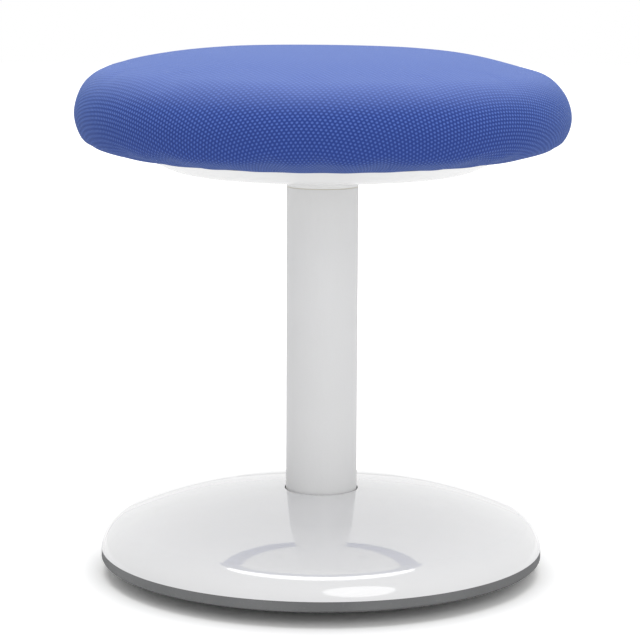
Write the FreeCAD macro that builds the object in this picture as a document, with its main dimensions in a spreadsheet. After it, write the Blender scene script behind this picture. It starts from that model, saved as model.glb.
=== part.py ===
import FreeCAD, Part
import math
import os

import Sketcher
from FreeCAD import Placement, Rotation, Vector

# A child's wobble stool. It stands on a convex rubber foot, so that the whole stool
# rocks on the floor, and its round cushion turns on a ball bearing above the column.
# The origin is on the floor under the column's axis, with +Z up. Lengths are in mm,
# angles in degrees.

sizes = {
    # overall
    "seat_height": 356.0,  # floor to the crown of the cushion
    "seat_radius": 164.6,
    "base_radius": 150.0,
    "column_radius": 24.15,  # a 48.3 mm tube
    "column_wall": 2.0,
    # clearances
    "bond_gap": 0.05,  # where one piece is glued, pressed or laid on another
    "bolt_gap": 0.3,  # round a bolt in a plain hole
    "thread_gap": 0.05,  # round a thread in its tapped or pilot hole
    "cut_margin": 2.0,  # how far a through hole's cutter passes a face
    "small_edge": 0.8,  # chamfers on turned and cast pieces
    # rocker foot: a flat disc in the middle, then a bowl up to the band
    "foot_flat_radius": 45.0,
    "foot_wall": 4.0,
    "foot_edge_round": 1.6,
    "band_lift": 10.5,  # height of the band's lower edge off the floor
    "band_height": 7.1,
    "band_wall": 3.0,
    "rim_gap": 0.1,  # seam between the band and the dome
    "grip_count": 5,
    "grip_first_radius": 62.0,
    "grip_step": 18.0,
    "grip_width": 3.0,
    "grip_depth": 1.2,
    # base tub, inside the foot
    "tub_wall": 3.0,
    "spigot_height": 3.5,  # the lip that centres the dome
    "spigot_wall": 2.5,
    "spigot_gap": 2.4,
    # ballast casting
    "ballast_radius": 102.0,
    "ballast_thickness": 15.0,
    # dome: three arcs from the rim to the column hole
    "dome_wall": 3.0,
    "dome_edge_slope": 84.0,
    "dome_shoulder_radius": 21.5,
    "dome_shoulder_slope": 22.6,
    "dome_flank_radius": 228.0,
    "dome_flank_slope": 9.35,
    "dome_crown_radius": 640.0,
    "dome_hole_gap": 0.85,  # open ring between the dome and the column
    # dome pillars and their screws
    "pillar_circle": 112.0,
    "pillar_radius": 4.0,
    "pillar_count": 6,
    "tub_boss_radius": 7.0,
    "tub_boss_height": 4.0,
    "dome_screw_radius": 1.9,
    "dome_screw_length": 18.0,
    "dome_screw_head_radius": 3.8,
    "dome_screw_recess": 0.8,
    # ballast screws
    "ballast_screw_circle": 30.0,
    "ballast_screw_radius": 2.5,
    "ballast_screw_length": 12.0,
    "ballast_screw_head_radius": 4.7,
    "ballast_screw_count": 4,
    # column foot flange and its bolts
    "flange_radius": 62.0,
    "flange_thickness": 6.0,
    "weld_leg": 4.0,
    "flange_bolt_circle": 46.0,
    "flange_bolt_radius": 4.0,
    "flange_bolt_grip": 10.0,  # thread in the ballast
    "flange_bolt_head": 5.3,
    "flange_bolt_flats": 13.0,
    "flange_bolt_count": 4,
    "flange_washer_radius": 8.0,
    "flange_washer_thickness": 1.6,
    "diagonal": 45.0,  # turn of the screws that stand between the bolts
    # socket-headed screws, as shares of the head
    "head_face_share": 0.6,
    "head_rim_share": 0.25,
    "socket_share": 0.6,
    # seal round the column in the dome's hole
    "seal_drop": 0.8,  # how far the lip stays below the dome
    "seal_flange": 5.0,
    "seal_thickness": 3.0,
    # column head and its bushes
    "head_length": 25.0,
    "guide_length": 15.0,
    "guide_drop": 75.0,  # column top to the top of the lower guide
    "bush_wall": 3.0,
    "bush_gap": 0.05,  # running clearance on the spindle
    "bush_sink": 0.4,
    "bush_flange_radius": 16.0,
    "bush_flange_thickness": 2.0,
    # spindle
    "spindle_radius": 10.0,
    "shoulder_radius": 18.0,
    "shoulder_height": 8.2,
    "spindle_tail": 8.0,  # below the snap ring
    "end_play": 0.2,
    "keeper_thickness": 1.5,
    "keeper_radius": 15.0,
    "snap_thickness": 1.2,
    "snap_depth": 0.6,  # groove in the spindle
    "snap_width": 3.2,
    "snap_opening": 7.0,
    # thrust bearing
    "race_radius": 17.5,
    "race_thickness": 3.0,
    "race_gap": 4.0,
    "lower_race_bore": 10.6,
    "ball_radius": 2.75,
    "ball_circle": 14.0,
    "ball_count": 12,
    "ball_play": 0.03,
    "track_ease": 0.1,  # how much wider the track's curve is than the ball
    "cage_thickness": 1.8,
    "cage_inner_radius": 11.0,
    "cage_outer_radius": 17.0,
    "pocket_gap": 0.1,
    # swivel plate and its bolts
    "plate_radius": 69.0,
    "plate_thickness": 4.0,
    "seat_bolt_circle": 55.0,
    "seat_bolt_radius": 3.0,
    "seat_bolt_length": 15.0,
    "seat_bolt_head_radius": 5.25,
    "seat_bolt_head": 3.3,
    "seat_bolt_socket": 4.0,
    "seat_bolt_count": 4,
    "seat_washer_radius": 6.25,
    "seat_washer_thickness": 1.2,
    "tee_flange_radius": 9.5,
    "tee_flange": 1.5,
    "tee_barrel_wall": 1.1,
    "tee_barrel_length": 9.0,
    # seat board
    "board_radius": 137.0,
    "board_thickness": 12.0,
    "board_bevel_start": 119.0,
    "board_bevel_height": 4.5,
    "board_top_round": 3.0,
    # cushion: three arcs above the widest place and three below
    "crown_slope": 3.34,
    "shoulder_slope": 17.1,
    "shoulder_arc": 281.0,
    "side_arc": 29.6,
    "lower_side_arc": 31.0,
    "lower_side_slope": 63.6,
    "lower_turn_arc": 16.5,
    "lower_turn_slope": 21.3,
    "underside_arc": 119.0,
    "cover_thickness": 1.2,
    "cover_flat_radius": 121.0,
    "cover_edge_radius": 103.0,
    # staples that hold the cover to the board
    "staple_circle": 108.5,
    "staple_crown": 10.0,
    "staple_wire": 0.7,
    "staple_leg": 6.0,
    "staple_count": 28,
    # seat pan
    "pan_depth": 11.8,  # board to the pan's flat underside
    "pan_wall": 2.5,
    "pan_flat_radius": 90.0,
    "pan_turn_arc": 36.0,
    "pan_slope": 26.0,
    "neck_wall": 3.15,
    "neck_seam": 0.6,  # between the turning neck and the column
    "neck_round": 1.2,
    "pan_screw_circle": 78.0,
    "pan_pillar_radius": 6.0,
    "pan_screw_radius": 1.9,
    "pan_screw_length": 16.0,
    "pan_screw_head_radius": 4.0,
    "pan_screw_head": 2.6,
    "pan_screw_socket": 2.5,
    "pan_screw_recess": 2.4,
    "pan_screw_count": 4,
}

# Places that several pieces share, worked out from the sizes.
places = {
    # foot and tub
    "rim_height": "sizes.band_lift + sizes.band_height",
    "foot_edge_radius": "sizes.base_radius - sizes.foot_edge_round",
    "tub_radius": "sizes.base_radius - sizes.band_wall - sizes.bond_gap",
    "tub_under": "sizes.foot_wall + sizes.bond_gap",
    "tub_floor": "tub_under + sizes.tub_wall",
    # the bowl runs from the flat's edge to the band, round a centre on the axis
    "bowl_centre": "(pow(foot_edge_radius; 2) + pow(sizes.band_lift; 2)"
    " - pow(sizes.foot_flat_radius; 2)) / (2 * sizes.band_lift)",
    "foot_bowl": "sqrt(pow(bowl_centre; 2) + pow(sizes.foot_flat_radius; 2))",
    "foot_inner_bowl": "foot_bowl - sizes.foot_wall",
    "tub_bowl": "foot_inner_bowl - sizes.bond_gap",
    "tub_inner_bowl": "tub_bowl - sizes.tub_wall",
    "ballast_bowl": "tub_inner_bowl - sizes.bond_gap",
    "spigot_radius": "sizes.base_radius - sizes.dome_wall - sizes.spigot_gap",
    "spigot_inner": "spigot_radius - sizes.spigot_wall",
    "tub_shelf": "rim_height - sizes.rim_gap",
    "ballast_under": "tub_floor + sizes.bond_gap",
    "ballast_top": "ballast_under + sizes.ballast_thickness",
    "boss_top": "bowl_centre - sqrt(pow(tub_inner_bowl; 2)"
    " - pow(sizes.pillar_circle; 2)) + sizes.tub_boss_height",
    "boss_under": "bowl_centre - sqrt(pow(tub_bowl; 2) - pow(sizes.pillar_circle; 2))",
    # dome, from the rim inwards
    "dome_shoulder_r": "sizes.base_radius - sizes.dome_shoulder_radius"
    " * (sin(sizes.dome_edge_slope) - sin(sizes.dome_shoulder_slope))",
    "dome_shoulder_z": "rim_height + sizes.dome_shoulder_radius"
    " * (cos(sizes.dome_shoulder_slope) - cos(sizes.dome_edge_slope))",
    "dome_flank_r": "dome_shoulder_r - sizes.dome_flank_radius"
    " * (sin(sizes.dome_shoulder_slope) - sin(sizes.dome_flank_slope))",
    "dome_flank_z": "dome_shoulder_z + sizes.dome_flank_radius"
    " * (cos(sizes.dome_flank_slope) - cos(sizes.dome_shoulder_slope))",
    "crown_centre_r": "dome_flank_r - sizes.dome_crown_radius * sin(sizes.dome_flank_slope)",
    "crown_centre_z": "dome_flank_z - sizes.dome_crown_radius * cos(sizes.dome_flank_slope)",
    "flank_centre_r": "dome_flank_r - sizes.dome_flank_radius * sin(sizes.dome_flank_slope)",
    "flank_centre_z": "dome_flank_z - sizes.dome_flank_radius * cos(sizes.dome_flank_slope)",
    "dome_hole_r": "sizes.column_radius + sizes.dome_hole_gap",
    "dome_hole_z": "crown_centre_z + sqrt(pow(sizes.dome_crown_radius; 2)"
    " - pow(dome_hole_r - crown_centre_r; 2))",
    "dome_inner_crown": "sizes.dome_crown_radius - sizes.dome_wall",
    "dome_hole_under": "crown_centre_z + sqrt(pow(dome_inner_crown; 2)"
    " - pow(dome_hole_r - crown_centre_r; 2))",
    "pillar_top": "flank_centre_z + sqrt(pow(sizes.dome_flank_radius - sizes.dome_wall / 2; 2)"
    " - pow(sizes.pillar_circle - flank_centre_r; 2))",
    "seal_r": "dome_hole_r + sizes.seal_flange",
    "seal_top": "crown_centre_z + sqrt(pow(dome_inner_crown; 2)"
    " - pow(seal_r - crown_centre_r; 2)) - sizes.bond_gap",
    # screws under the base
    "dome_screw_face": "boss_under + sizes.dome_screw_recess",
    "dome_screw_cone": "sizes.dome_screw_head_radius - sizes.dome_screw_radius",
    "dome_screw_tip": "dome_screw_face + sizes.dome_screw_length",
    "ballast_screw_cone": "sizes.ballast_screw_head_radius - sizes.ballast_screw_radius",
    "ballast_screw_tip": "tub_under + sizes.ballast_screw_length",
    # column foot
    "flange_top": "ballast_top + sizes.bond_gap + sizes.flange_thickness",
    "column_foot": "ballast_top + sizes.bond_gap",
    "flange_bolt_seat": "flange_top + sizes.bond_gap + sizes.flange_washer_thickness",
    "flange_bolt_tip": "ballast_top - sizes.flange_bolt_grip",
    # cushion, from the crown down
    "shoulder_r": "sizes.seat_radius - sizes.side_arc * (1 - sin(sizes.shoulder_slope))",
    "crown_r": "shoulder_r - sizes.shoulder_arc"
    " * (sin(sizes.shoulder_slope) - sin(sizes.crown_slope))",
    "crown_arc": "crown_r / sin(sizes.crown_slope)",
    "crown_z": "sizes.seat_height - crown_arc * (1 - cos(sizes.crown_slope))",
    "shoulder_z": "crown_z - sizes.shoulder_arc"
    " * (cos(sizes.crown_slope) - cos(sizes.shoulder_slope))",
    "widest_z": "shoulder_z - sizes.side_arc * cos(sizes.shoulder_slope)",
    "lower_side_r": "sizes.seat_radius - sizes.lower_side_arc * (1 - sin(sizes.lower_side_slope))",
    "lower_side_z": "widest_z - sizes.lower_side_arc * cos(sizes.lower_side_slope)",
    "turn_r": "lower_side_r - sizes.lower_turn_arc"
    " * (sin(sizes.lower_side_slope) - sin(sizes.lower_turn_slope))",
    "turn_z": "lower_side_z - sizes.lower_turn_arc"
    " * (cos(sizes.lower_turn_slope) - cos(sizes.lower_side_slope))",
    "under_centre_r": "turn_r - sizes.underside_arc * sin(sizes.lower_turn_slope)",
    "under_centre_z": "turn_z + sizes.underside_arc * cos(sizes.lower_turn_slope)",
    "cover_under": "under_centre_z - sqrt(pow(sizes.underside_arc; 2)"
    " - pow(sizes.cover_flat_radius - under_centre_r; 2))",
    # board, plate, bearing and column top, from the cover down
    "board_under": "cover_under + sizes.cover_thickness + sizes.bond_gap",
    "board_top": "board_under + sizes.board_thickness",
    "plate_top": "board_under - sizes.bond_gap",
    "plate_under": "plate_top - sizes.plate_thickness",
    "race_top": "plate_under - sizes.shoulder_height",
    "upper_race_under": "race_top - sizes.race_thickness",
    "lower_race_top": "upper_race_under - sizes.race_gap",
    "column_top": "lower_race_top - sizes.race_thickness",
    "ball_centre": "lower_race_top + sizes.race_gap / 2",
    "track_arc": "sizes.ball_radius + sizes.track_ease",
    "track_shift": "sizes.track_ease - sizes.ball_play",
    "pocket_radius": "sizes.ball_radius + sizes.pocket_gap",
    # inside the column
    "column_bore": "sizes.column_radius - sizes.column_wall",
    "plug_radius": "column_bore - sizes.bond_gap",
    "bush_bore": "sizes.spindle_radius + sizes.bush_gap",
    "bush_radius": "bush_bore + sizes.bush_wall",
    "bush_seat": "bush_radius + sizes.bond_gap",
    "head_under": "column_top - sizes.head_length",
    "guide_top": "column_top - sizes.guide_drop",
    "guide_under": "guide_top - sizes.guide_length",
    "bush_foot": "guide_under - sizes.bond_gap - sizes.bush_flange_thickness",
    "keeper_top": "bush_foot - sizes.end_play",
    "keeper_under": "keeper_top - sizes.keeper_thickness",
    "snap_top": "keeper_under - sizes.bond_gap",
    "snap_under": "snap_top - sizes.snap_thickness",
    "snap_bore": "sizes.spindle_radius - sizes.snap_depth",
    "spindle_foot": "snap_under - sizes.spindle_tail",
    # bolts, washers and nuts in the seat
    "seat_bolt_seat": "plate_under - sizes.bond_gap - sizes.seat_washer_thickness",
    "seat_bolt_tip": "seat_bolt_seat + sizes.seat_bolt_length",
    "tee_bore": "sizes.seat_bolt_radius + sizes.thread_gap",
    "tee_barrel_radius": "tee_bore + sizes.tee_barrel_wall",
    "tee_under": "board_top - sizes.tee_flange",
    "tee_foot": "board_top - sizes.tee_barrel_length",
    # seat pan
    "pan_under": "board_under - sizes.pan_depth",
    "pan_floor": "pan_under + sizes.pan_wall",
    "pan_turn_r": "sizes.pan_flat_radius + sizes.pan_turn_arc * sin(sizes.pan_slope)",
    "pan_turn_z": "pan_under + sizes.pan_turn_arc * (1 - cos(sizes.pan_slope))",
    "pan_lip": "cover_under - sizes.bond_gap",
    "pan_lip_r": "pan_turn_r + (pan_lip - pan_turn_z) / tan(sizes.pan_slope)",
    "pan_inner_arc": "sizes.pan_turn_arc - sizes.pan_wall",
    "pan_inner_r": "pan_turn_r - sizes.pan_wall * sin(sizes.pan_slope)",
    "pan_inner_z": "pan_turn_z + sizes.pan_wall * cos(sizes.pan_slope)",
    "neck_foot": "column_top + sizes.neck_seam",
    "neck_bore": "sizes.column_radius - sizes.neck_wall",
    "pan_screw_seat": "pan_under + sizes.pan_screw_recess + sizes.pan_screw_head",
    "pan_screw_tip": "pan_screw_seat + sizes.pan_screw_length",
}

doc = FreeCAD.newDocument("wobble_stool")


def fillSheet(name, rows, mark):
    """Write named rows to a sheet; each alias is the row's own name."""
    sheet = doc.addObject("Spreadsheet::Sheet", name)
    for row, (alias, content) in enumerate(rows.items(), start=1):
        sheet.set(f"A{row}", alias)
        sheet.set(f"B{row}", f"{mark}{content}")
        sheet.setAlias(f"B{row}", alias)
    doc.recompute()
    return sheet


fillSheet("sizes", sizes, "")
place_sheet = fillSheet("places", places, "=")

parts = []


def worth(text):
    """What an expression over the two sheets comes to."""
    return float(place_sheet.evalExpression(text))


def newPart(label):
    """A body for one sub-part; identical fasteners may be several solids in it."""
    body = doc.addObject("PartDesign::Body", label)
    body.Label = label
    body.Placement = Placement()
    body.AllowCompound = True
    parts.append(body)
    return body


def originPart(body, role):
    return next(item for item in body.Origin.OriginFeatures if item.Role == role)


def newSketch(body, name, plane, turned=None, height=None):
    """A sketch on an origin plane, lifted to a height or turned about +Z if asked."""
    sketch = body.newObject("Sketcher::SketchObject", f"{body.Name}_{name}")
    sketch.AttachmentSupport = [(originPart(body, plane), "")]
    sketch.MapMode = "FlatFace"
    up = Vector(0, 1, 0) if plane == "XZ_Plane" else Vector(0, 0, 1)
    if turned:
        sketch.AttachmentOffset = Placement(Vector(), Rotation(up, worth(turned)))
        sketch.setExpression("AttachmentOffset.Rotation.Angle", turned)
    if height:
        sketch.setExpression("AttachmentOffset.Base.z", height)
    return sketch


def pin(sketch, geometry, end, across, up):
    """Tie one end of an edge to its place, given as expressions from the origin."""
    for text, kind, axis in ((across, "DistanceX", -2), (up, "DistanceY", -1)):
        if text == "0":
            sketch.addConstraint(Sketcher.Constraint("PointOnObject", geometry, end, axis))
        else:
            rule = Sketcher.Constraint(kind, -1, 1, geometry, end, worth(text))
            sketch.setExpression(f"Constraints[{sketch.addConstraint(rule)}]", text)


def arcMiddle(start, end, radius, bend):
    """The middle of the shorter arc between two points that bends cw or ccw."""
    chord = end - start
    left = Vector(-chord.y, chord.x, 0).normalize()
    side = -1 if bend == "cw" else 1
    middle = (start + end) * 0.5
    centre = middle + left * side * math.sqrt(radius**2 - (chord.Length / 2) ** 2)
    return centre + (middle - centre).normalize() * radius


def outline(sketch, corners):
    """A closed outline. A corner is (across, up), reached by a straight edge, or
    (across, up, radius, bend), reached by an arc. All of them are expressions."""
    points = [Vector(worth(corner[0]), worth(corner[1]), 0) for corner in corners]
    starts = []
    finishes = []
    for index, corner in enumerate(corners):
        start = points[index - 1]
        finish = points[index]
        forward = len(corner) == 2 or corner[3] == "ccw"
        if len(corner) == 2:
            edge = Part.LineSegment(start, finish)
        else:
            middle = arcMiddle(start, finish, worth(corner[2]), corner[3])
            edge = Part.Arc(start, middle, finish) if forward else Part.Arc(finish, middle, start)
        geometry = sketch.addGeometry(edge, False)
        starts.append((geometry, 1 if forward else 2))
        finishes.append((geometry, 2 if forward else 1))
    for index, corner in enumerate(corners):
        following = starts[(index + 1) % len(corners)]
        sketch.addConstraint(Sketcher.Constraint("Coincident", *finishes[index], *following))
        pin(sketch, *finishes[index], corner[0], corner[1])
        if len(corner) == 4:
            rule = Sketcher.Constraint("Radius", finishes[index][0], worth(corner[2]))
            sketch.setExpression(f"Constraints[{sketch.addConstraint(rule)}]", corner[2])


def spin(body, name, corners, about="0", cut=False, turned=None):
    """Turn an outline of the XZ plane about +Z, or about an upright line at "about"."""
    sketch = newSketch(body, name, "XZ_Plane", turned)
    outline(sketch, corners)
    axis = "V_Axis"
    if about != "0":
        foot = Vector(worth(about), 0, 0)
        line = sketch.addGeometry(Part.LineSegment(foot, foot + Vector(0, 10, 0)), True)
        pin(sketch, line, 1, about, "0")
        sketch.addConstraint(Sketcher.Constraint("Vertical", line))
        sketch.addConstraint(Sketcher.Constraint("Distance", line, 10.0))
        axis = "Axis0"
    kind = "PartDesign::Groove" if cut else "PartDesign::Revolution"
    feature = body.newObject(kind, f"{body.Name}_{name}_turn")
    feature.Profile = sketch
    feature.ReferenceAxis = (sketch, [axis])
    feature.Angle = 360
    doc.recompute()
    return feature


def bore(body, name, circle, radius, low, high, turned=None):
    """An upright hole on a circle round the axis, between two heights."""
    wall = f"{circle} + {radius}"
    corners = [(circle, low), (wall, low), (wall, high), (circle, high)]
    return spin(body, name, corners, circle, True, turned)


def circleEdge(sketch, across, radius):
    """A full circle centred on the sketch's X axis."""
    middle = Vector(worth(across), 0, 0)
    circle = Part.Circle(middle, Vector(0, 0, 1), worth(radius))
    geometry = sketch.addGeometry(circle, False)
    pin(sketch, geometry, 3, across, "0")
    rule = Sketcher.Constraint("Radius", geometry, worth(radius))
    sketch.setExpression(f"Constraints[{sketch.addConstraint(rule)}]", radius)


def hexagon(across, flats):
    """Corners of a hexagon centred on the X axis, as expressions."""
    sides = 6
    reach = f"{flats} / sqrt(3)"
    corners = []
    for step in range(sides):
        angle = 360 / sides * (step + 0.5)
        corners.append((f"{across} + {reach} * cos({angle})", f"{reach} * sin({angle})"))
    return corners


def pad(body, sketch, thickness, cut=False, both_ways=False):
    """Give a flat sketch its thickness, upwards, or cut it both ways from its plane."""
    kind = "PartDesign::Pocket" if cut else "PartDesign::Pad"
    feature = body.newObject(kind, f"{sketch.Name}_pad")
    feature.Profile = sketch
    feature.Length = worth(thickness)
    feature.setExpression("Length", thickness)
    if both_ways:
        feature.SideType = "Symmetric"
    doc.recompute()
    return feature


def around(body, features, count, name="ring"):
    """Repeat features round the axis."""
    pattern = body.newObject("PartDesign::PolarPattern", f"{body.Name}_{name}")
    pattern.Originals = features
    pattern.Axis = (originPart(body, "Z_Axis"), [""])
    pattern.Angle = 360
    pattern.Occurrences = int(worth(count))
    pattern.setExpression("Occurrences", count)
    body.Tip = pattern
    doc.recompute()
    return pattern


def bowlHeight(radius, bowl):
    """Height of a bowl surface round the foot's centre, at a radius from the axis."""
    return f"places.bowl_centre - sqrt(pow({bowl}; 2) - pow({radius}; 2))"


def makeRockerFoot():
    """The grey rubber foot: a bowl with a flat middle, and the band round the rim."""
    body = newPart("rocker_foot")
    flat = "sizes.foot_flat_radius"
    edge = "sizes.foot_edge_round"
    inner = "(sizes.base_radius - sizes.band_wall)"
    brim = "places.tub_shelf + sizes.cut_margin"
    spin(
        body,
        "outside",
        [
            ("0", "0"),
            (flat, "0"),
            ("places.foot_edge_radius", "sizes.band_lift", "places.foot_bowl", "ccw"),
            ("sizes.base_radius", f"sizes.band_lift + {edge}", edge, "ccw"),
            ("sizes.base_radius", "places.tub_shelf"),
            ("0", "places.tub_shelf"),
        ],
    )
    spin(
        body,
        "inside",
        [
            ("0", "sizes.foot_wall"),
            (flat, "sizes.foot_wall"),
            (inner, bowlHeight(inner, "places.foot_inner_bowl"), "places.foot_inner_bowl", "ccw"),
            (inner, brim),
            ("0", brim),
        ],
        cut=True,
    )
    for step in range(int(worth("sizes.grip_count"))):
        middle = f"(sizes.grip_first_radius + {step} * sizes.grip_step)"
        inner = f"{middle} - sizes.grip_width / 2"
        outer = f"{middle} + sizes.grip_width / 2"
        top = f"{bowlHeight(middle, 'places.foot_bowl')} + sizes.grip_depth"
        spin(
            body,
            f"grip_{step + 1}",
            [(inner, "0"), (outer, "0"), (outer, top), (inner, top)],
            cut=True,
        )


def makeBaseTub():
    """The stiff tub that fills the foot and carries the ballast and the dome."""
    body = newPart("base_tub")
    flat = "sizes.foot_flat_radius"
    outer = "places.tub_radius"
    inner = "places.spigot_inner"
    lip = "places.tub_shelf + sizes.spigot_height"
    spin(
        body,
        "outside",
        [
            ("0", "places.tub_under"),
            (flat, "places.tub_under"),
            (outer, bowlHeight(outer, "places.tub_bowl"), "places.tub_bowl", "ccw"),
            (outer, "places.tub_shelf"),
            ("places.spigot_radius", "places.tub_shelf"),
            ("places.spigot_radius", lip),
            ("0", lip),
        ],
    )
    spin(
        body,
        "inside",
        [
            ("0", "places.tub_floor"),
            (flat, "places.tub_floor"),
            (inner, bowlHeight(inner, "places.tub_inner_bowl"), "places.tub_inner_bowl", "ccw"),
            (inner, f"{lip} + sizes.cut_margin"),
            ("0", f"{lip} + sizes.cut_margin"),
        ],
        cut=True,
    )
    circle = "sizes.pillar_circle"
    side = f"{circle} + sizes.tub_boss_radius"
    low = "places.boss_under + sizes.tub_wall / 2"
    high = "places.boss_top"
    boss = spin(body, "boss", [(circle, low), (side, low), (side, high), (circle, high)], circle)
    around(body, [boss], "sizes.pillar_count", "bosses")
    hole = f"{circle} + sizes.dome_screw_radius + sizes.bolt_gap"
    head = f"{circle} + sizes.dome_screw_head_radius + sizes.bolt_gap"
    face = "places.dome_screw_face"
    seat = f"{face} + places.dome_screw_cone"
    countersink = spin(
        body,
        "dome_screw_hole",
        [
            (circle, "places.boss_under - sizes.cut_margin"),
            (head, "places.boss_under - sizes.cut_margin"),
            (head, face),
            (hole, seat),
            (hole, "places.boss_top + sizes.cut_margin"),
            (circle, "places.boss_top + sizes.cut_margin"),
        ],
        circle,
        True,
    )
    around(body, [countersink], "sizes.pillar_count", "dome_screw_holes")
    circle = "sizes.ballast_screw_circle"
    hole = f"{circle} + sizes.ballast_screw_radius + sizes.bolt_gap"
    head = f"{circle} + sizes.ballast_screw_head_radius + sizes.bolt_gap"
    seat = "places.tub_under + places.ballast_screw_cone"
    countersink = spin(
        body,
        "ballast_screw_hole",
        [
            (circle, "places.tub_under - sizes.cut_margin"),
            (head, "places.tub_under - sizes.cut_margin"),
            (head, "places.tub_under"),
            (hole, seat),
            (hole, "places.tub_floor + sizes.cut_margin"),
            (circle, "places.tub_floor + sizes.cut_margin"),
        ],
        circle,
        True,
        "sizes.diagonal",
    )
    around(body, [countersink], "sizes.ballast_screw_count", "ballast_screw_holes")


def makeBallast():
    """The iron casting that keeps the stool upright, tapped for both sets of bolts."""
    body = newPart("ballast_casting")
    edge = "sizes.small_edge"
    radius = "sizes.ballast_radius"
    top = "places.ballast_top"
    spin(
        body,
        "casting",
        [
            ("0", "places.ballast_under"),
            ("sizes.foot_flat_radius", "places.ballast_under"),
            (radius, bowlHeight(radius, "places.ballast_bowl"), "places.ballast_bowl", "ccw"),
            (radius, f"{top} - {edge}"),
            (f"{radius} - {edge}", top),
            ("0", top),
        ],
    )
    tapped = bore(
        body,
        "flange_bolt_hole",
        "sizes.flange_bolt_circle",
        "sizes.flange_bolt_radius + sizes.thread_gap",
        "places.flange_bolt_tip - sizes.bolt_gap",
        "places.ballast_top + sizes.cut_margin",
    )
    around(body, [tapped], "sizes.flange_bolt_count", "flange_bolt_holes")
    tapped = bore(
        body,
        "ballast_screw_hole",
        "sizes.ballast_screw_circle",
        "sizes.ballast_screw_radius + sizes.thread_gap",
        "places.ballast_under - sizes.cut_margin",
        "places.ballast_screw_tip + sizes.bolt_gap",
        "sizes.diagonal",
    )
    around(body, [tapped], "sizes.ballast_screw_count", "ballast_screw_holes")


def countersunkScrews(label, circle, face, tip, radius, head, cone, count, turned=None):
    """Screws driven upwards with a flat head, in a ring round the axis."""
    body = newPart(label)
    shank = f"{circle} + {radius}"
    screw = spin(
        body,
        "screw",
        [
            (circle, face),
            (f"{circle} + {head}", face),
            (shank, f"{face} + {cone}"),
            (shank, f"{tip} - {radius} / 2"),
            (f"{shank} - {radius} / 2", tip),
            (circle, tip),
        ],
        circle,
        turned=turned,
    )
    around(body, [screw], count)


def makeBaseScrews():
    countersunkScrews(
        "dome_screws",
        "sizes.pillar_circle",
        "places.dome_screw_face",
        "places.dome_screw_tip",
        "sizes.dome_screw_radius",
        "sizes.dome_screw_head_radius",
        "places.dome_screw_cone",
        "sizes.pillar_count",
    )
    countersunkScrews(
        "ballast_screws",
        "sizes.ballast_screw_circle",
        "places.tub_under",
        "places.ballast_screw_tip",
        "sizes.ballast_screw_radius",
        "sizes.ballast_screw_head_radius",
        "places.ballast_screw_cone",
        "sizes.ballast_screw_count",
        "sizes.diagonal",
    )


def makeBaseDome():
    """The glossy white dome, with the pillars that its screws bite into."""
    body = newPart("base_dome")
    wall = "sizes.dome_wall"

    def inside(radius, height, slope):
        return f"{radius} - {wall} * sin({slope})", f"{height} - {wall} * cos({slope})"

    shoulder = ("places.dome_shoulder_r", "places.dome_shoulder_z")
    flank = ("places.dome_flank_r", "places.dome_flank_z")
    hole = "places.dome_hole_r"
    spin(
        body,
        "outside",
        [
            (hole, "places.rim_height"),
            ("sizes.base_radius", "places.rim_height"),
            (*shoulder, "sizes.dome_shoulder_radius", "ccw"),
            (*flank, "sizes.dome_flank_radius", "ccw"),
            (hole, "places.dome_hole_z", "sizes.dome_crown_radius", "ccw"),
        ],
    )
    edge = inside("sizes.base_radius", "places.rim_height", "sizes.dome_edge_slope")[0]
    below = "places.rim_height - sizes.cut_margin"
    past_hole = f"{hole} - sizes.cut_margin"
    shoulder = inside(*shoulder, "sizes.dome_shoulder_slope")
    flank = inside(*flank, "sizes.dome_flank_slope")
    spin(
        body,
        "inside",
        [
            (past_hole, below),
            (edge, below),
            (edge, "places.rim_height"),
            (*shoulder, f"sizes.dome_shoulder_radius - {wall}", "ccw"),
            (*flank, f"sizes.dome_flank_radius - {wall}", "ccw"),
            (hole, "places.dome_hole_under", "places.dome_inner_crown", "ccw"),
            (past_hole, "places.dome_hole_under"),
        ],
        cut=True,
    )
    circle = "sizes.pillar_circle"
    side = f"{circle} + sizes.pillar_radius"
    low = "places.boss_top + sizes.bond_gap"
    pillar = spin(
        body,
        "pillar",
        [(circle, low), (side, low), (side, "places.pillar_top"), (circle, "places.pillar_top")],
        circle,
    )
    around(body, [pillar], "sizes.pillar_count", "pillars")
    pilot = bore(
        body,
        "pilot",
        circle,
        "sizes.dome_screw_radius + sizes.thread_gap",
        f"{low} - sizes.cut_margin",
        "places.dome_screw_tip + sizes.bolt_gap",
    )
    around(body, [pilot], "sizes.pillar_count", "pilots")


def makeColumn():
    """The upright tube and the flange welded round its foot."""
    body = newPart("column_tube")
    sketch = newSketch(body, "section", "XY_Plane", height="places.column_foot")
    circleEdge(sketch, "0", "sizes.column_radius")
    circleEdge(sketch, "0", "places.column_bore")
    pad(body, sketch, "places.column_top - places.column_foot")

    body = newPart("column_flange")
    inner = "sizes.column_radius + sizes.bond_gap"
    spin(
        body,
        "disc",
        [
            (inner, "places.column_foot"),
            ("sizes.flange_radius", "places.column_foot"),
            ("sizes.flange_radius", "places.flange_top - sizes.small_edge"),
            ("sizes.flange_radius - sizes.small_edge", "places.flange_top"),
            (f"{inner} + sizes.weld_leg", "places.flange_top"),
            (inner, "places.flange_top + sizes.weld_leg"),
        ],
    )
    hole = bore(
        body,
        "bolt_hole",
        "sizes.flange_bolt_circle",
        "sizes.flange_bolt_radius + sizes.bolt_gap",
        "places.column_foot - sizes.cut_margin",
        "places.flange_top + sizes.cut_margin",
    )
    around(body, [hole], "sizes.flange_bolt_count", "bolt_holes")


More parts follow.
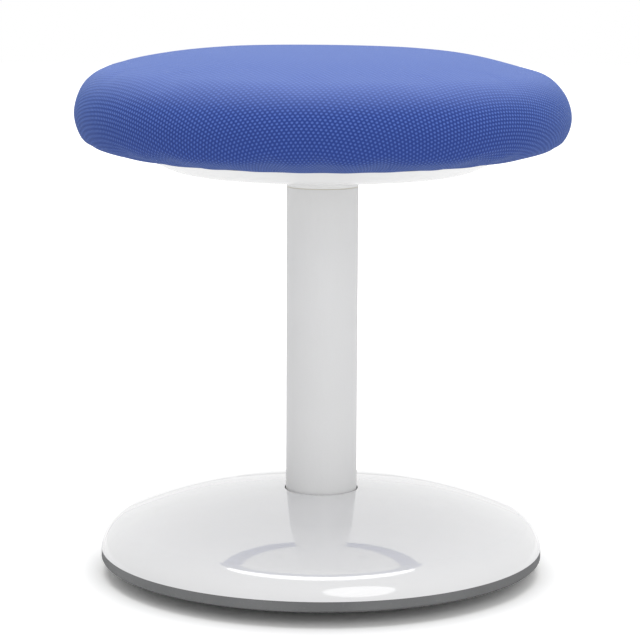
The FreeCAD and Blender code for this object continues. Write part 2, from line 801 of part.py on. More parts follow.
def washers(label, circle, inner, outer, low, thickness, count):
    """Flat washers in a ring round the axis."""
    body = newPart(label)
    top = f"{low} + {thickness}"
    near = f"{circle} + {inner}"
    far = f"{circle} + {outer}"
    washer = spin(body, "washer", [(near, low), (far, low), (far, top), (near, top)], circle)
    around(body, [washer], count)


def makeFlangeFasteners():
    circle = "sizes.flange_bolt_circle"
    washers(
        "flange_washers",
        circle,
        "sizes.flange_bolt_radius + sizes.bolt_gap",
        "sizes.flange_washer_radius",
        "places.flange_top + sizes.bond_gap",
        "sizes.flange_washer_thickness",
        "sizes.flange_bolt_count",
    )
    body = newPart("flange_bolts")
    sketch = newSketch(body, "head", "XY_Plane", height="places.flange_bolt_seat + sizes.bond_gap")
    outline(sketch, hexagon(circle, "sizes.flange_bolt_flats"))
    head = pad(body, sketch, "sizes.flange_bolt_head")
    side = f"{circle} + sizes.flange_bolt_radius"
    inside_head = "places.flange_bolt_seat + sizes.flange_bolt_head / 2"
    shank = spin(
        body,
        "shank",
        [
            (circle, "places.flange_bolt_tip"),
            (f"{side} - sizes.small_edge", "places.flange_bolt_tip"),
            (side, "places.flange_bolt_tip + sizes.small_edge"),
            (side, inside_head),
            (circle, inside_head),
        ],
        circle,
    )
    around(body, [head, shank], "sizes.flange_bolt_count")


def makeDomeSeal():
    """The dark rubber ring that closes the gap between the column and the dome."""
    body = newPart("dome_seal")
    inner = "sizes.column_radius + sizes.bond_gap"
    lip = "places.dome_hole_r - sizes.bond_gap"
    spin(
        body,
        "ring",
        [
            (inner, "places.seal_top - sizes.seal_thickness"),
            ("places.seal_r", "places.seal_top - sizes.seal_thickness"),
            ("places.seal_r", "places.seal_top"),
            (lip, "places.seal_top"),
            (lip, "places.dome_hole_z - sizes.seal_drop"),
            (inner, "places.dome_hole_z - sizes.seal_drop"),
        ],
    )


def ring(label, inner, outer, low, high):
    """A plain turned ring on the axis, with its outer corners broken."""
    body = newPart(label)
    edge = "sizes.small_edge / 2"
    spin(
        body,
        "ring",
        [
            (inner, low),
            (f"{outer} - {edge}", low),
            (outer, f"{low} + {edge}"),
            (outer, f"{high} - {edge}"),
            (f"{outer} - {edge}", high),
            (inner, high),
        ],
    )
    return body


def makeColumnInsides():
    """The two plugs in the tube and the bushes that the spindle turns in."""
    ring("head_plug", "places.bush_seat", "places.plug_radius", "places.head_under", "places.column_top")
    ring("guide_plug", "places.bush_seat", "places.plug_radius", "places.guide_under", "places.guide_top")
    ring(
        "upper_bush",
        "places.bush_bore",
        "places.bush_radius",
        "places.head_under",
        "places.column_top - sizes.bush_sink",
    )
    body = newPart("lower_bush")
    spin(
        body,
        "bush",
        [
            ("places.bush_bore", "places.bush_foot"),
            ("sizes.bush_flange_radius", "places.bush_foot"),
            ("sizes.bush_flange_radius", "places.guide_under - sizes.bond_gap"),
            ("places.bush_radius", "places.guide_under - sizes.bond_gap"),
            ("places.bush_radius", "places.guide_top"),
            ("places.bush_bore", "places.guide_top"),
        ],
    )


def race(label, inner, low, high, track_centre):
    """A bearing ring with the track that its balls roll in."""
    body = newPart(label)
    edge = "sizes.small_edge / 2"
    outer = "sizes.race_radius"
    spin(
        body,
        "ring",
        [
            (inner, low),
            (f"{outer} - {edge}", low),
            (outer, f"{low} + {edge}"),
            (outer, f"{high} - {edge}"),
            (f"{outer} - {edge}", high),
            (inner, high),
        ],
    )
    spin(body, "track", trackCircle(track_centre), cut=True)


def trackCircle(track_centre):
    """The track's round section as four quarter arcs."""
    middle = "sizes.ball_circle"
    arc = "places.track_arc"
    return [
        (f"{middle} + {arc}", track_centre, arc, "ccw"),
        (middle, f"{track_centre} + {arc}", arc, "ccw"),
        (f"{middle} - {arc}", track_centre, arc, "ccw"),
        (middle, f"{track_centre} - {arc}", arc, "ccw"),
    ]


def makeBearing():
    """The thrust bearing: two races, and the balls in their cage between them."""
    race(
        "lower_race",
        "sizes.lower_race_bore",
        "places.column_top + sizes.bond_gap",
        "places.lower_race_top",
        "places.ball_centre + places.track_shift",
    )
    race(
        "upper_race",
        "sizes.spindle_radius + sizes.bond_gap",
        "places.upper_race_under",
        "places.race_top - sizes.bond_gap",
        "places.ball_centre - places.track_shift",
    )
    body = newPart("bearing_cage")
    sketch = newSketch(body, "disc", "XY_Plane", height="places.ball_centre - sizes.cage_thickness / 2")
    circleEdge(sketch, "0", "sizes.cage_outer_radius")
    circleEdge(sketch, "0", "sizes.cage_inner_radius")
    pad(body, sketch, "sizes.cage_thickness")
    pocket = bore(
        body,
        "pocket",
        "sizes.ball_circle",
        "places.pocket_radius",
        "places.ball_centre - sizes.cage_thickness",
        "places.ball_centre + sizes.cage_thickness",
    )
    around(body, [pocket], "sizes.ball_count", "pockets")

    body = newPart("bearing_balls")
    middle = "sizes.ball_circle"
    radius = "sizes.ball_radius"
    ball = spin(
        body,
        "ball",
        [
            (middle, f"places.ball_centre - {radius}"),
            (f"{middle} + {radius}", "places.ball_centre", radius, "ccw"),
            (middle, f"places.ball_centre + {radius}", radius, "ccw"),
        ],
        middle,
    )
    around(body, [ball], "sizes.ball_count")


def makeSpindle():
    """The shaft under the seat: a shoulder on the bearing and a groove at its foot."""
    body = newPart("spindle")
    shaft = "sizes.spindle_radius"
    edge = "sizes.small_edge"
    groove_top = "places.snap_top + sizes.bond_gap"
    groove_foot = "places.snap_under - sizes.bond_gap"
    neck = "places.snap_bore - sizes.bond_gap"
    spin(
        body,
        "shaft",
        [
            ("0", "places.spindle_foot"),
            (f"{shaft} - {edge}", "places.spindle_foot"),
            (shaft, f"places.spindle_foot + {edge}"),
            (shaft, groove_foot),
            (neck, groove_foot),
            (neck, groove_top),
            (shaft, groove_top),
            (shaft, "places.race_top"),
            ("sizes.shoulder_radius", "places.race_top"),
            ("sizes.shoulder_radius", "places.plate_under - sizes.bond_gap"),
            (shaft, "places.plate_under - sizes.bond_gap"),
            (shaft, "places.plate_top"),
            ("0", "places.plate_top"),
        ],
    )

    ring(
        "spindle_washer",
        "places.bush_bore",
        "sizes.keeper_radius",
        "places.keeper_under",
        "places.keeper_top",
    )

    body = newPart("snap_ring")
    sketch = newSketch(body, "ring", "XY_Plane", height="places.snap_under")
    circleEdge(sketch, "0", "places.snap_bore + sizes.snap_width")
    circleEdge(sketch, "0", "places.snap_bore")
    pad(body, sketch, "sizes.snap_thickness")
    half = "sizes.snap_opening / 2"
    reach = "(places.snap_bore + sizes.snap_width + sizes.cut_margin)"
    sketch = newSketch(body, "opening", "XY_Plane", height="places.snap_under")
    outline(sketch, [("0", f"-{half}"), (reach, f"-{half}"), (reach, half), ("0", half)])
    depth = "2 * (sizes.snap_thickness + sizes.cut_margin)"
    pad(body, sketch, depth, cut=True, both_ways=True)


def makeSwivelPlate():
    body = newPart("swivel_plate")
    edge = "sizes.small_edge"
    inner = "sizes.spindle_radius + sizes.bond_gap"
    spin(
        body,
        "disc",
        [
            (inner, "places.plate_under"),
            (f"sizes.plate_radius - {edge}", "places.plate_under"),
            ("sizes.plate_radius", f"places.plate_under + {edge}"),
            ("sizes.plate_radius", "places.plate_top"),
            (inner, "places.plate_top"),
        ],
    )
    hole = bore(
        body,
        "bolt_hole",
        "sizes.seat_bolt_circle",
        "sizes.seat_bolt_radius + sizes.bolt_gap",
        "places.plate_under - sizes.cut_margin",
        "places.plate_top + sizes.cut_margin",
    )
    around(body, [hole], "sizes.seat_bolt_count", "bolt_holes")


def makeSeatFasteners():
    """The bolts through the plate, their washers and the nuts sunk in the board."""
    circle = "sizes.seat_bolt_circle"
    washers(
        "seat_washers",
        circle,
        "sizes.seat_bolt_radius + sizes.bolt_gap",
        "sizes.seat_washer_radius",
        "places.seat_bolt_seat",
        "sizes.seat_washer_thickness",
        "sizes.seat_bolt_count",
    )
    socketScrews(
        "seat_bolts",
        circle,
        "places.seat_bolt_seat - sizes.bond_gap",
        "places.seat_bolt_tip",
        "sizes.seat_bolt_radius",
        "sizes.seat_bolt_head_radius",
        "sizes.seat_bolt_head",
        "sizes.seat_bolt_socket",
        "sizes.seat_bolt_count",
    )
    body = newPart("tee_nuts")
    bored = f"{circle} + places.tee_bore"
    barrel = f"{circle} + places.tee_barrel_radius"
    flange = f"{circle} + sizes.tee_flange_radius"
    nut = spin(
        body,
        "nut",
        [
            (bored, "places.tee_foot"),
            (barrel, "places.tee_foot"),
            (barrel, "places.tee_under"),
            (flange, "places.tee_under"),
            (flange, "places.board_top"),
            (bored, "places.board_top"),
        ],
        circle,
    )
    around(body, [nut], "sizes.seat_bolt_count")


def socketScrews(label, circle, seat, tip, radius, head, head_height, socket, count, turned=None):
    """Round-headed screws driven upwards, each with a hexagon socket in its head."""
    body = newPart(label)
    face = f"{seat} - {head_height}"
    side = f"{circle} + {radius}"
    rounded = f"{circle} + sizes.head_face_share * {head}"
    rim = f"{seat} - sizes.head_rim_share * {head_height}"
    screw = spin(
        body,
        "screw",
        [
            (circle, face),
            (rounded, face),
            (f"{circle} + {head}", rim, head, "ccw"),
            (f"{circle} + {head}", seat),
            (side, seat),
            (side, f"{tip} - {radius} / 3"),
            (f"{side} - {radius} / 3", tip),
            (circle, tip),
        ],
        circle,
        turned=turned,
    )
    sketch = newSketch(body, "socket", "XY_Plane", turned, face)
    outline(sketch, hexagon(circle, socket))
    depth = f"2 * sizes.socket_share * {head_height}"
    recess = pad(body, sketch, depth, cut=True, both_ways=True)
    around(body, [screw, recess], count)


def makeSeatBoard():
    """The plywood disc under the foam, bevelled below where the cover turns in."""
    body = newPart("seat_board")
    radius = "sizes.board_radius"
    round_over = "sizes.board_top_round"
    spin(
        body,
        "disc",
        [
            ("0", "places.board_under"),
            ("sizes.board_bevel_start", "places.board_under"),
            (radius, "places.board_under + sizes.board_bevel_height"),
            (radius, f"places.board_top - {round_over}"),
            (f"{radius} - {round_over}", "places.board_top", round_over, "ccw"),
            ("0", "places.board_top"),
        ],
    )
    circle = "sizes.seat_bolt_circle"
    low = "places.board_under - sizes.cut_margin"
    high = "places.board_top + sizes.cut_margin"
    hole = f"{circle} + places.tee_barrel_radius + sizes.bond_gap"
    sink = f"{circle} + sizes.tee_flange_radius + sizes.bond_gap"
    shelf = "places.tee_under - sizes.bond_gap"
    socket = spin(
        body,
        "tee_hole",
        [(circle, low), (hole, low), (hole, shelf), (sink, shelf), (sink, high), (circle, high)],
        circle,
        True,
    )
    around(body, [socket], "sizes.seat_bolt_count", "tee_holes")
    pilot = bore(
        body,
        "pilot",
        "sizes.pan_screw_circle",
        "sizes.pan_screw_radius + sizes.thread_gap",
        low,
        "places.pan_screw_tip + sizes.bolt_gap",
        "sizes.diagonal",
    )
    around(body, [pilot], "sizes.pan_screw_count", "pilots")


def cushionCorners(skin):
    """The cushion's side and top, a depth inside the cover, from its underside up."""

    def inside(radius, height, slope, below=False):
        sign = "+" if below else "-"
        return (
            f"{radius} - {skin} * sin({slope})",
            f"{height} {sign} {skin} * cos({slope})",
        )

    turn = inside("places.turn_r", "places.turn_z", "sizes.lower_turn_slope", True)
    side = inside("places.lower_side_r", "places.lower_side_z", "sizes.lower_side_slope", True)
    shoulder = inside("places.shoulder_r", "places.shoulder_z", "sizes.shoulder_slope")
    crown = inside("places.crown_r", "places.crown_z", "sizes.crown_slope")
    return [
        (*turn, f"sizes.underside_arc - {skin}", "ccw"),
        (*side, f"sizes.lower_turn_arc - {skin}", "ccw"),
        (f"sizes.seat_radius - {skin}", "places.widest_z", f"sizes.lower_side_arc - {skin}", "ccw"),
        (*shoulder, f"sizes.side_arc - {skin}", "ccw"),
        (*crown, f"sizes.shoulder_arc - {skin}", "ccw"),
        ("0", f"sizes.seat_height - {skin}", f"places.crown_arc - {skin}", "ccw"),
    ]


def underHeight(radius, skin):
    """Height of the cushion's underside at a radius, a depth inside the cover."""
    return (
        f"places.under_centre_z - sqrt(pow(sizes.underside_arc - {skin}; 2)"
        f" - pow({radius} - places.under_centre_r; 2))"
    )


def makeSeatFoam():
    """The crowned foam pad, which also fills the cover round the board's edge."""
    body = newPart("seat_foam")
    skin = "(sizes.cover_thickness + sizes.bond_gap)"
    edge = "(sizes.board_radius + sizes.bond_gap)"
    lid = "places.board_top + sizes.bond_gap"
    foot = (edge, underHeight(edge, skin))
    spin(body, "pad", [("0", lid), (edge, lid), foot, *cushionCorners(skin)])


def makeSeatCover():
    """The fabric cover: over the foam, round the edge and flat under the board."""
    body = newPart("seat_cover")
    skin = "sizes.cover_thickness"
    flat = "sizes.cover_flat_radius"
    edge = "sizes.cover_edge_radius"
    low = "places.cover_under"
    hem = f"{low} + {skin}"
    spin(body, "outside", [("0", low), (flat, low), *cushionCorners("0")])
    below = f"{low} - sizes.cut_margin"
    opening = [("0", below), (edge, below), (edge, hem), (flat, hem)]
    spin(body, "inside", [*opening, *cushionCorners(skin)], cut=True)


def makeStaples():
    """Staples through the cover's hem into the board."""
    body = newPart("cover_staples")
    circle = "sizes.staple_circle"
    wire = "sizes.staple_wire"
    half = "sizes.staple_crown / 2"
    near = f"{circle} - {wire} / 2"
    far = f"{circle} + {wire} / 2"
    low = "places.cover_under - sizes.staple_wire"
    sketch = newSketch(body, "crown", "XY_Plane", height=low)
    outline(sketch, [(near, f"-{half}"), (far, f"-{half}"), (far, half), (near, half)])
    crown = pad(body, sketch, wire)
    sides = {"left": (f"-{half}", f"-{half} + {wire}"), "right": (f"{half} - {wire}", half)}
    legs = []
    for side, (first, last) in sides.items():
        sketch = newSketch(body, f"{side}_leg", "XY_Plane", height=low)
        outline(sketch, [(near, first), (far, first), (far, last), (near, last)])
        legs.append(pad(body, sketch, "sizes.staple_leg + sizes.cover_thickness"))
    around(body, [crown, *legs], "sizes.staple_count")


def makeSeatPan():
    """The glossy white pan under the seat, with the neck that hides the bearing."""
    body = newPart("seat_pan")
    neck = "sizes.column_radius"
    corner = "sizes.neck_round"
    spin(
        body,
        "shell",
        [
            ("places.neck_bore", "places.neck_foot"),
            (neck, "places.neck_foot"),
            (neck, f"places.pan_under - {corner}"),
            (f"{neck} + {corner}", "places.pan_under", corner, "cw"),
            ("sizes.pan_flat_radius", "places.pan_under"),
            ("places.pan_turn_r", "places.pan_turn_z", "sizes.pan_turn_arc", "ccw"),
            ("places.pan_lip_r", "places.pan_lip"),
            ("places.pan_lip_r - sizes.pan_wall / sin(sizes.pan_slope)", "places.pan_lip"),
            ("places.pan_inner_r", "places.pan_inner_z"),
            ("sizes.pan_flat_radius", "places.pan_floor", "places.pan_inner_arc", "cw"),
            ("places.neck_bore", "places.pan_floor"),
        ],
    )
    circle = "sizes.pan_screw_circle"
    side = f"{circle} + sizes.pan_pillar_radius"
    low = "places.pan_under + sizes.pan_wall / 2"
    top = "places.plate_top"
    turned = "sizes.diagonal"
    pillar = spin(
        body,
        "pillar",
        [(circle, low), (side, low), (side, top), (circle, top)],
        circle,
        turned=turned,
    )
    around(body, [pillar], "sizes.pan_screw_count", "pillars")
    head = f"{circle} + sizes.pan_screw_head_radius + sizes.bolt_gap"
    hole = f"{circle} + sizes.pan_screw_radius + sizes.bolt_gap"
    recess = spin(
        body,
        "recess",
        [
            (circle, "places.pan_under - sizes.cut_margin"),
            (head, "places.pan_under - sizes.cut_margin"),
            (head, "places.pan_screw_seat"),
            (hole, "places.pan_screw_seat"),
            (hole, f"{top} + sizes.cut_margin"),
            (circle, f"{top} + sizes.cut_margin"),
        ],
        circle,
        True,
        turned,
    )
    around(body, [recess], "sizes.pan_screw_count", "recesses")
    socketScrews(
        "pan_screws",
        circle,
        "places.pan_screw_seat - sizes.bond_gap",
        "places.pan_screw_tip",
        "sizes.pan_screw_radius",
        "sizes.pan_screw_head_radius",
        "sizes.pan_screw_head",
        "sizes.pan_screw_socket",
        "sizes.pan_screw_count",
        turned,
    )


makeRockerFoot()
makeBaseTub()
makeBallast()
makeBaseScrews()
makeBaseDome()
makeColumn()
makeFlangeFasteners()
makeDomeSeal()
makeColumnInsides()
makeBearing()
makeSpindle()
makeSwivelPlate()
makeSeatFasteners()
makeSeatBoard()
makeSeatFoam()
makeSeatCover()
makeStaples()
makeSeatPan()
doc.recompute()

problems = []
for item in doc.Objects:
    if "Invalid" in item.State or "Error" in item.State:
        problems.append(f"{item.Name} is {item.State}")
    if item.TypeId == "Sketcher::SketchObject" and not item.FullyConstrained:
        problems.append(f"{item.Name} isn't fully constrained")
for body in parts:
    if body.Shape.isNull() or not body.Shape.isValid() or not body.Shape.Solids:
        problems.append(f"{body.Label} has no valid solid")
    volume = 0.0
    for feature in body.Group:
        if feature.isDerivedFrom("PartDesign::Feature"):
            if feature.Shape.isNull():
                problems.append(f"{feature.Name} has no shape")
                continue
            change = feature.Shape.Volume - volume
            cuts = feature.TypeId in ("PartDesign::Groove", "PartDesign::Pocket")
            if (change >= 0) if cuts else (change == 0):
                problems.append(f"{feature.Name} changes nothing")
            volume = feature.Shape.Volume
if problems:
    raise RuntimeError("; ".join(problems))

os.makedirs("parts", exist_ok=True)
for body in parts:
    body.Shape.exportStep(f"parts/{body.Label}.step")
    box = body.Shape.optimalBoundingBox(False)
    print(
        f"{body.Label:16s} {len(body.Shape.Solids):3d} solids {body.Shape.Volume:11.1f} mm3"
        f"  r {box.XMax:7.2f}  z {box.ZMin:7.2f} to {box.ZMax:7.2f}"
    )
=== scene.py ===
import math
import random

import bmesh
import bpy
from mathutils import Matrix, Vector


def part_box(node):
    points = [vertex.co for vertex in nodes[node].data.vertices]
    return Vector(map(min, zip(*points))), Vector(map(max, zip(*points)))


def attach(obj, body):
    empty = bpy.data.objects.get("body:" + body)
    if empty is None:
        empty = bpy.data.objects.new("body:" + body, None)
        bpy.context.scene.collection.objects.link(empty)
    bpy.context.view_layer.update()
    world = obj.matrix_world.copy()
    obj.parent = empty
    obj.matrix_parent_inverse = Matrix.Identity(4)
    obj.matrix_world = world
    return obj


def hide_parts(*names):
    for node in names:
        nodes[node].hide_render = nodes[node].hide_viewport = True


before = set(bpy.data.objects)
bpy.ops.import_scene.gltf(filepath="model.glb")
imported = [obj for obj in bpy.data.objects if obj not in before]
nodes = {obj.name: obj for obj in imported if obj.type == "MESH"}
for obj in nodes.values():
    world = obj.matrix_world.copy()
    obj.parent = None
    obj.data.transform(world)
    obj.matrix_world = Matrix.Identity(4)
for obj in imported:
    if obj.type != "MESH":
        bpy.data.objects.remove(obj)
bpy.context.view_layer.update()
print("frame loaded:", len(nodes), "nodes")


def newObject(name, data):
    thing = bpy.data.objects.new(name, data)
    bpy.context.scene.collection.objects.link(thing)
    return thing


# Camera: in front of the stool, above its seat and tilted down at it

camera = {
    "distance": 1.6417,  # from the column's axis
    "height": 0.4382,
    "tiltDown": 9.2,  # degrees
    "roll": 0.25,
    "focalPixels": 2459.6,
    "framePixels": 640,
    "sensorWidth": 36.0,
    "axisPixel": 322.0,  # column of the image that the stool's axis falls on
}


def makeCamera(setting):
    data = bpy.data.cameras.new("photoCamera")
    data.sensor_width = setting["sensorWidth"]
    data.lens = setting["focalPixels"] * setting["sensorWidth"] / setting["framePixels"]
    aside = setting["axisPixel"] - setting["framePixels"] / 2
    stand = Matrix.Translation((0, -setting["distance"], setting["height"]))
    turn = Matrix.Rotation(math.atan(aside / setting["focalPixels"]), 4, "Z")
    tilt = Matrix.Rotation(math.radians(90 - setting["tiltDown"]), 4, "X")
    roll = Matrix.Rotation(math.radians(setting["roll"]), 4, "Z")
    eye = newObject("photoCamera", data)
    eye.matrix_world = stand @ turn @ tilt @ roll
    bpy.context.scene.camera = eye


makeCamera(camera)
print("camera placed")


# Shader tools

def plug(tree, socket, value):
    if isinstance(value, bpy.types.NodeSocket):
        tree.links.new(value, socket)
    else:
        socket.default_value = value


def addNode(tree, kind, inputs=None, **settings):
    node = tree.nodes.new(kind)
    for key, value in settings.items():
        setattr(node, key, value)
    for key, value in (inputs or {}).items():
        plug(tree, node.inputs[key], value)
    return node


def newMaterial(name, kind="ShaderNodeBsdfPrincipled"):
    material = bpy.data.materials.new(name)
    material.use_nodes = True
    tree = material.node_tree
    tree.nodes.clear()
    shader = tree.nodes.new(kind)
    addNode(tree, "ShaderNodeOutputMaterial", {"Surface": shader.outputs["BSDF"]})
    return material, tree, shader


def dress(tree, shader, inputs):
    for key, value in inputs.items():
        plug(tree, shader.inputs[key], value)


def math2(tree, operation, first, second=0.0):
    return addNode(tree, "ShaderNodeMath", {0: first, 1: second}, operation=operation).outputs[0]


def vectorMath(tree, operation, first, second=(0.0, 0.0, 0.0), output="Vector"):
    node = addNode(tree, "ShaderNodeVectorMath", {0: first, 1: second}, operation=operation)
    return node.outputs[output]


def remap(tree, value, low, high, toLow=0.0, toHigh=1.0, curve="LINEAR"):
    node = addNode(tree, "ShaderNodeMapRange", {
        "Value": value, "From Min": low, "From Max": high, "To Min": toLow, "To Max": toHigh},
        interpolation_type=curve)
    return node.outputs["Result"]


def spread(tree, noise, low, high):
    # noise lies mostly between these two values
    return remap(tree, noise, 0.3, 0.7, low, high)


def objectPlace(tree):
    return tree.nodes.new("ShaderNodeTexCoord").outputs["Object"]


def heightOf(tree, place):
    return addNode(tree, "ShaderNodeSeparateXYZ", {0: place}).outputs["Z"]


def noiseOf(tree, place, scale, detail=3.0, roughness=0.5, output="Fac"):
    node = addNode(tree, "ShaderNodeTexNoise", {
        "Vector": place, "Scale": scale, "Detail": detail, "Roughness": roughness})
    return node.outputs[output]


def mixColour(tree, share, first, second):
    inputs = {"Factor": share, "A": first, "B": second}
    return addNode(tree, "ShaderNodeMix", inputs, data_type="RGBA").outputs["Result"]


def bumpOf(tree, height, distance):
    inputs = {"Height": height, "Distance": distance, "Strength": 1.0}
    return addNode(tree, "ShaderNodeBump", inputs).outputs["Normal"]


def rgb(red, green, blue):
    return (red, green, blue, 1.0)


def grey(level):
    return rgb(level, level, level)


# Moulded, painted and metal finishes: a colour that drifts a little, fine grain and rubbed gloss

plainLook = {  # holds for every finish whose own look doesn't say otherwise
    "driftDetail": 2.0,
    "grainDetail": 4.0,
    "grainRoughness": 0.6,
    "speckDetail": 1.0,
    "speckFrom": 0.62,  # noise from which specks show
    "speckTo": 0.75,
    "rubbedShare": 0.15,  # by how much of itself the roughness drifts
    "grainRubbed": 0.02,  # and how much the grain adds to it
    "metallic": 0.0,
    "ior": 1.5,
    "coat": 0.0,
    "coatRoughness": 0.05,
    "coatIor": 1.5,
}

looks = {
    "domeGloss": {
        "colour": rgb(0.745, 0.745, 0.75), "second": rgb(0.725, 0.725, 0.73), "roughness": 0.1,
        "driftScale": 9.0, "grainScale": 900.0, "grainDepth": 0.000004, "speckScale": 420.0,
        "speck": 0.03, "speckColour": grey(0.6), "coat": 1.0, "coatRoughness": 0.02,
        "coatIor": 1.75},
    "panGloss": {
        "colour": rgb(0.84, 0.84, 0.835), "second": rgb(0.82, 0.82, 0.815), "roughness": 0.16,
        "driftScale": 11.0, "grainScale": 900.0, "grainDepth": 0.00001, "speckScale": 420.0,
        "speck": 0.03, "speckColour": grey(0.6), "coat": 0.15},
    "columnSatin": {
        "colour": grey(0.72), "second": grey(0.70), "roughness": 0.38,
        "driftScale": 14.0, "grainScale": 700.0, "grainDepth": 0.00006, "speckScale": 520.0,
        "speck": 0.05, "speckColour": grey(0.6)},
    "footRubber": {
        "colour": rgb(0.165, 0.168, 0.17), "second": rgb(0.14, 0.143, 0.145), "roughness": 0.72,
        "driftScale": 22.0, "grainScale": 1300.0, "grainDepth": 0.00012, "speckScale": 700.0,
        "speck": 0.25, "speckColour": grey(0.24)},
    # black rubber seal under the column's gap in the dome; its near-black colour also stands in
    # for the gap's shade, a painted shade
    "sealRubberAndGapShade": {
        "colour": rgb(0.03, 0.03, 0.032), "second": rgb(0.024, 0.024, 0.025), "roughness": 0.6,
        "driftScale": 60.0, "grainScale": 1500.0, "grainDepth": 0.00008, "speckScale": 700.0,
        "speck": 0.2, "speckColour": grey(0.08)},
    "tubPlastic": {
        "colour": rgb(0.035, 0.035, 0.038), "second": rgb(0.028, 0.028, 0.03),
        "roughness": 0.55, "driftScale": 18.0, "grainScale": 1000.0, "grainDepth": 0.0001,
        "speckScale": 600.0, "speck": 0.15, "speckColour": grey(0.09)},
    "bushNylon": {
        "colour": rgb(0.74, 0.71, 0.63), "second": rgb(0.70, 0.67, 0.58), "roughness": 0.45,
        "driftScale": 60.0, "grainScale": 1400.0, "grainDepth": 0.00004, "speckScale": 500.0,
        "speck": 0.1, "speckColour": rgb(0.55, 0.52, 0.45)},
    "castIron": {
        "colour": rgb(0.06, 0.06, 0.063), "second": rgb(0.09, 0.075, 0.065), "roughness": 0.78,
        "driftScale": 30.0, "grainScale": 380.0, "grainDepth": 0.0006, "speckScale": 260.0,
        "speck": 0.5, "speckColour": rgb(0.14, 0.08, 0.05), "metallic": 0.4},
    "blackEnamel": {
        "colour": rgb(0.02, 0.02, 0.022), "second": rgb(0.03, 0.03, 0.032), "roughness": 0.4,
        "driftScale": 26.0, "grainScale": 600.0, "grainDepth": 0.00012, "speckScale": 500.0,
        "speck": 0.2, "speckColour": grey(0.07)},
    "zincSteel": {
        "colour": rgb(0.56, 0.56, 0.54), "second": rgb(0.5, 0.49, 0.45), "roughness": 0.34,
        "driftScale": 90.0, "grainScale": 1600.0, "grainDepth": 0.00005, "speckScale": 500.0,
        "speck": 0.25, "speckColour": rgb(0.32, 0.31, 0.28), "metallic": 1.0},
    "bearingSteel": {
        "colour": rgb(0.6, 0.6, 0.61), "second": rgb(0.56, 0.56, 0.57), "roughness": 0.16,
        "driftScale": 120.0, "grainScale": 2200.0, "grainDepth": 0.00001, "speckScale": 900.0,
        "speck": 0.1, "speckColour": rgb(0.4, 0.38, 0.34), "metallic": 1.0},
    "cageBrass": {
        "colour": rgb(0.62, 0.44, 0.18), "second": rgb(0.55, 0.38, 0.15), "roughness": 0.3,
        "driftScale": 120.0, "grainScale": 1800.0, "grainDepth": 0.00003, "speckScale": 700.0,
        "speck": 0.2, "speckColour": rgb(0.35, 0.22, 0.08), "metallic": 1.0},
}


def mouldedFinish(name, ownLook):
    look = {**plainLook, **ownLook}
    material, tree, shader = newMaterial(name)
    place = objectPlace(tree)
    drift = noiseOf(tree, place, look["driftScale"], look["driftDetail"])
    grain = noiseOf(tree, place, look["grainScale"], look["grainDetail"], look["grainRoughness"])
    speck = noiseOf(tree, place, look["speckScale"], look["speckDetail"])
    speck = remap(tree, speck, look["speckFrom"], look["speckTo"], 0.0, look["speck"])
    colour = mixColour(tree, spread(tree, drift, 0.0, 1.0), look["colour"], look["second"])
    most, least = 1 + look["rubbedShare"], 1 - look["rubbedShare"]
    rubbed = spread(tree, drift, look["roughness"] * least, look["roughness"] * most)
    uneven = spread(tree, grain, -look["grainRubbed"], look["grainRubbed"])
    dress(tree, shader, {
        "Base Color": mixColour(tree, speck, colour, look["speckColour"]),
        "Roughness": math2(tree, "ADD", rubbed, uneven),
        "Normal": bumpOf(tree, grain, look["grainDepth"]),
        "Metallic": look["metallic"],
        "IOR": look["ior"],
        "Coat Weight": look["coat"],
        "Coat Roughness": look["coatRoughness"],
        "Coat IOR": look["coatIor"],
    })
    return material


# Plywood: long grain, with dark glue lines between its layers

plyLook = {
    "layerPair": 0.0029,  # height of a layer and its glue line
    "grainScale": (14.0, 220.0, 30.0),
    "grainDetail": 6.0,
    "grainRoughness": 0.6,
    "grainRange": (0.2, 0.8),
    "pale": rgb(0.62, 0.44, 0.26),
    "dark": rgb(0.46, 0.29, 0.15),
    "glue": rgb(0.3, 0.18, 0.09),
    "glueShare": 0.35,
    "roughness": (0.55, 0.75),
    "grainDepth": 0.0002,
}


def plyFinish(name, look):
    material, tree, shader = newMaterial(name)
    place = objectPlace(tree)
    phase = math2(tree, "MULTIPLY", heightOf(tree, place), 2 * math.pi / look["layerPair"])
    layers = remap(tree, math2(tree, "SINE", phase), -1.0, 1.0, 0.0, look["glueShare"])
    along = addNode(tree, "ShaderNodeMapping", {"Vector": place, "Scale": look["grainScale"]})
    grain = noiseOf(tree, along.outputs[0], 1.0, look["grainDetail"], look["grainRoughness"])
    colour = mixColour(tree, grain, look["pale"], look["dark"])
    dress(tree, shader, {
        "Base Color": mixColour(tree, layers, colour, look["glue"]),
        "Roughness": remap(tree, grain, *look["grainRange"], *look["roughness"]),
        "Normal": bumpOf(tree, grain, look["grainDepth"]),
    })
    return material


# Foam: open cells

foamLook = {
    "cellScale": 900.0,
    "driftScale": 20.0,
    "pale": rgb(0.66, 0.64, 0.56),
    "dark": rgb(0.58, 0.56, 0.49),
    "cellEdge": 0.6,  # distance from a cell's middle at which it is roughest
    "roughness": (0.8, 0.95),
    "cellDepth": 0.0006,
}


def foamFinish(name, look):
    material, tree, shader = newMaterial(name)
    place = objectPlace(tree)
    inputs = {"Vector": place, "Scale": look["cellScale"]}
    cells = addNode(tree, "ShaderNodeTexVoronoi", inputs).outputs["Distance"]
    drift = noiseOf(tree, place, look["driftScale"])
    dress(tree, shader, {
        "Base Color": mixColour(tree, drift, look["pale"], look["dark"]),
        "Roughness": remap(tree, cells, 0.0, look["cellEdge"], *look["roughness"]),
        "Normal": bumpOf(tree, cells, look["cellDepth"]),
    })
    return material


finishes = {name: mouldedFinish(name, look) for name, look in looks.items()}
finishes["birchPly"] = plyFinish("birchPly", plyLook)
finishes["greyFoam"] = foamFinish("greyFoam", foamLook)
print("finishes made:", len(finishes))

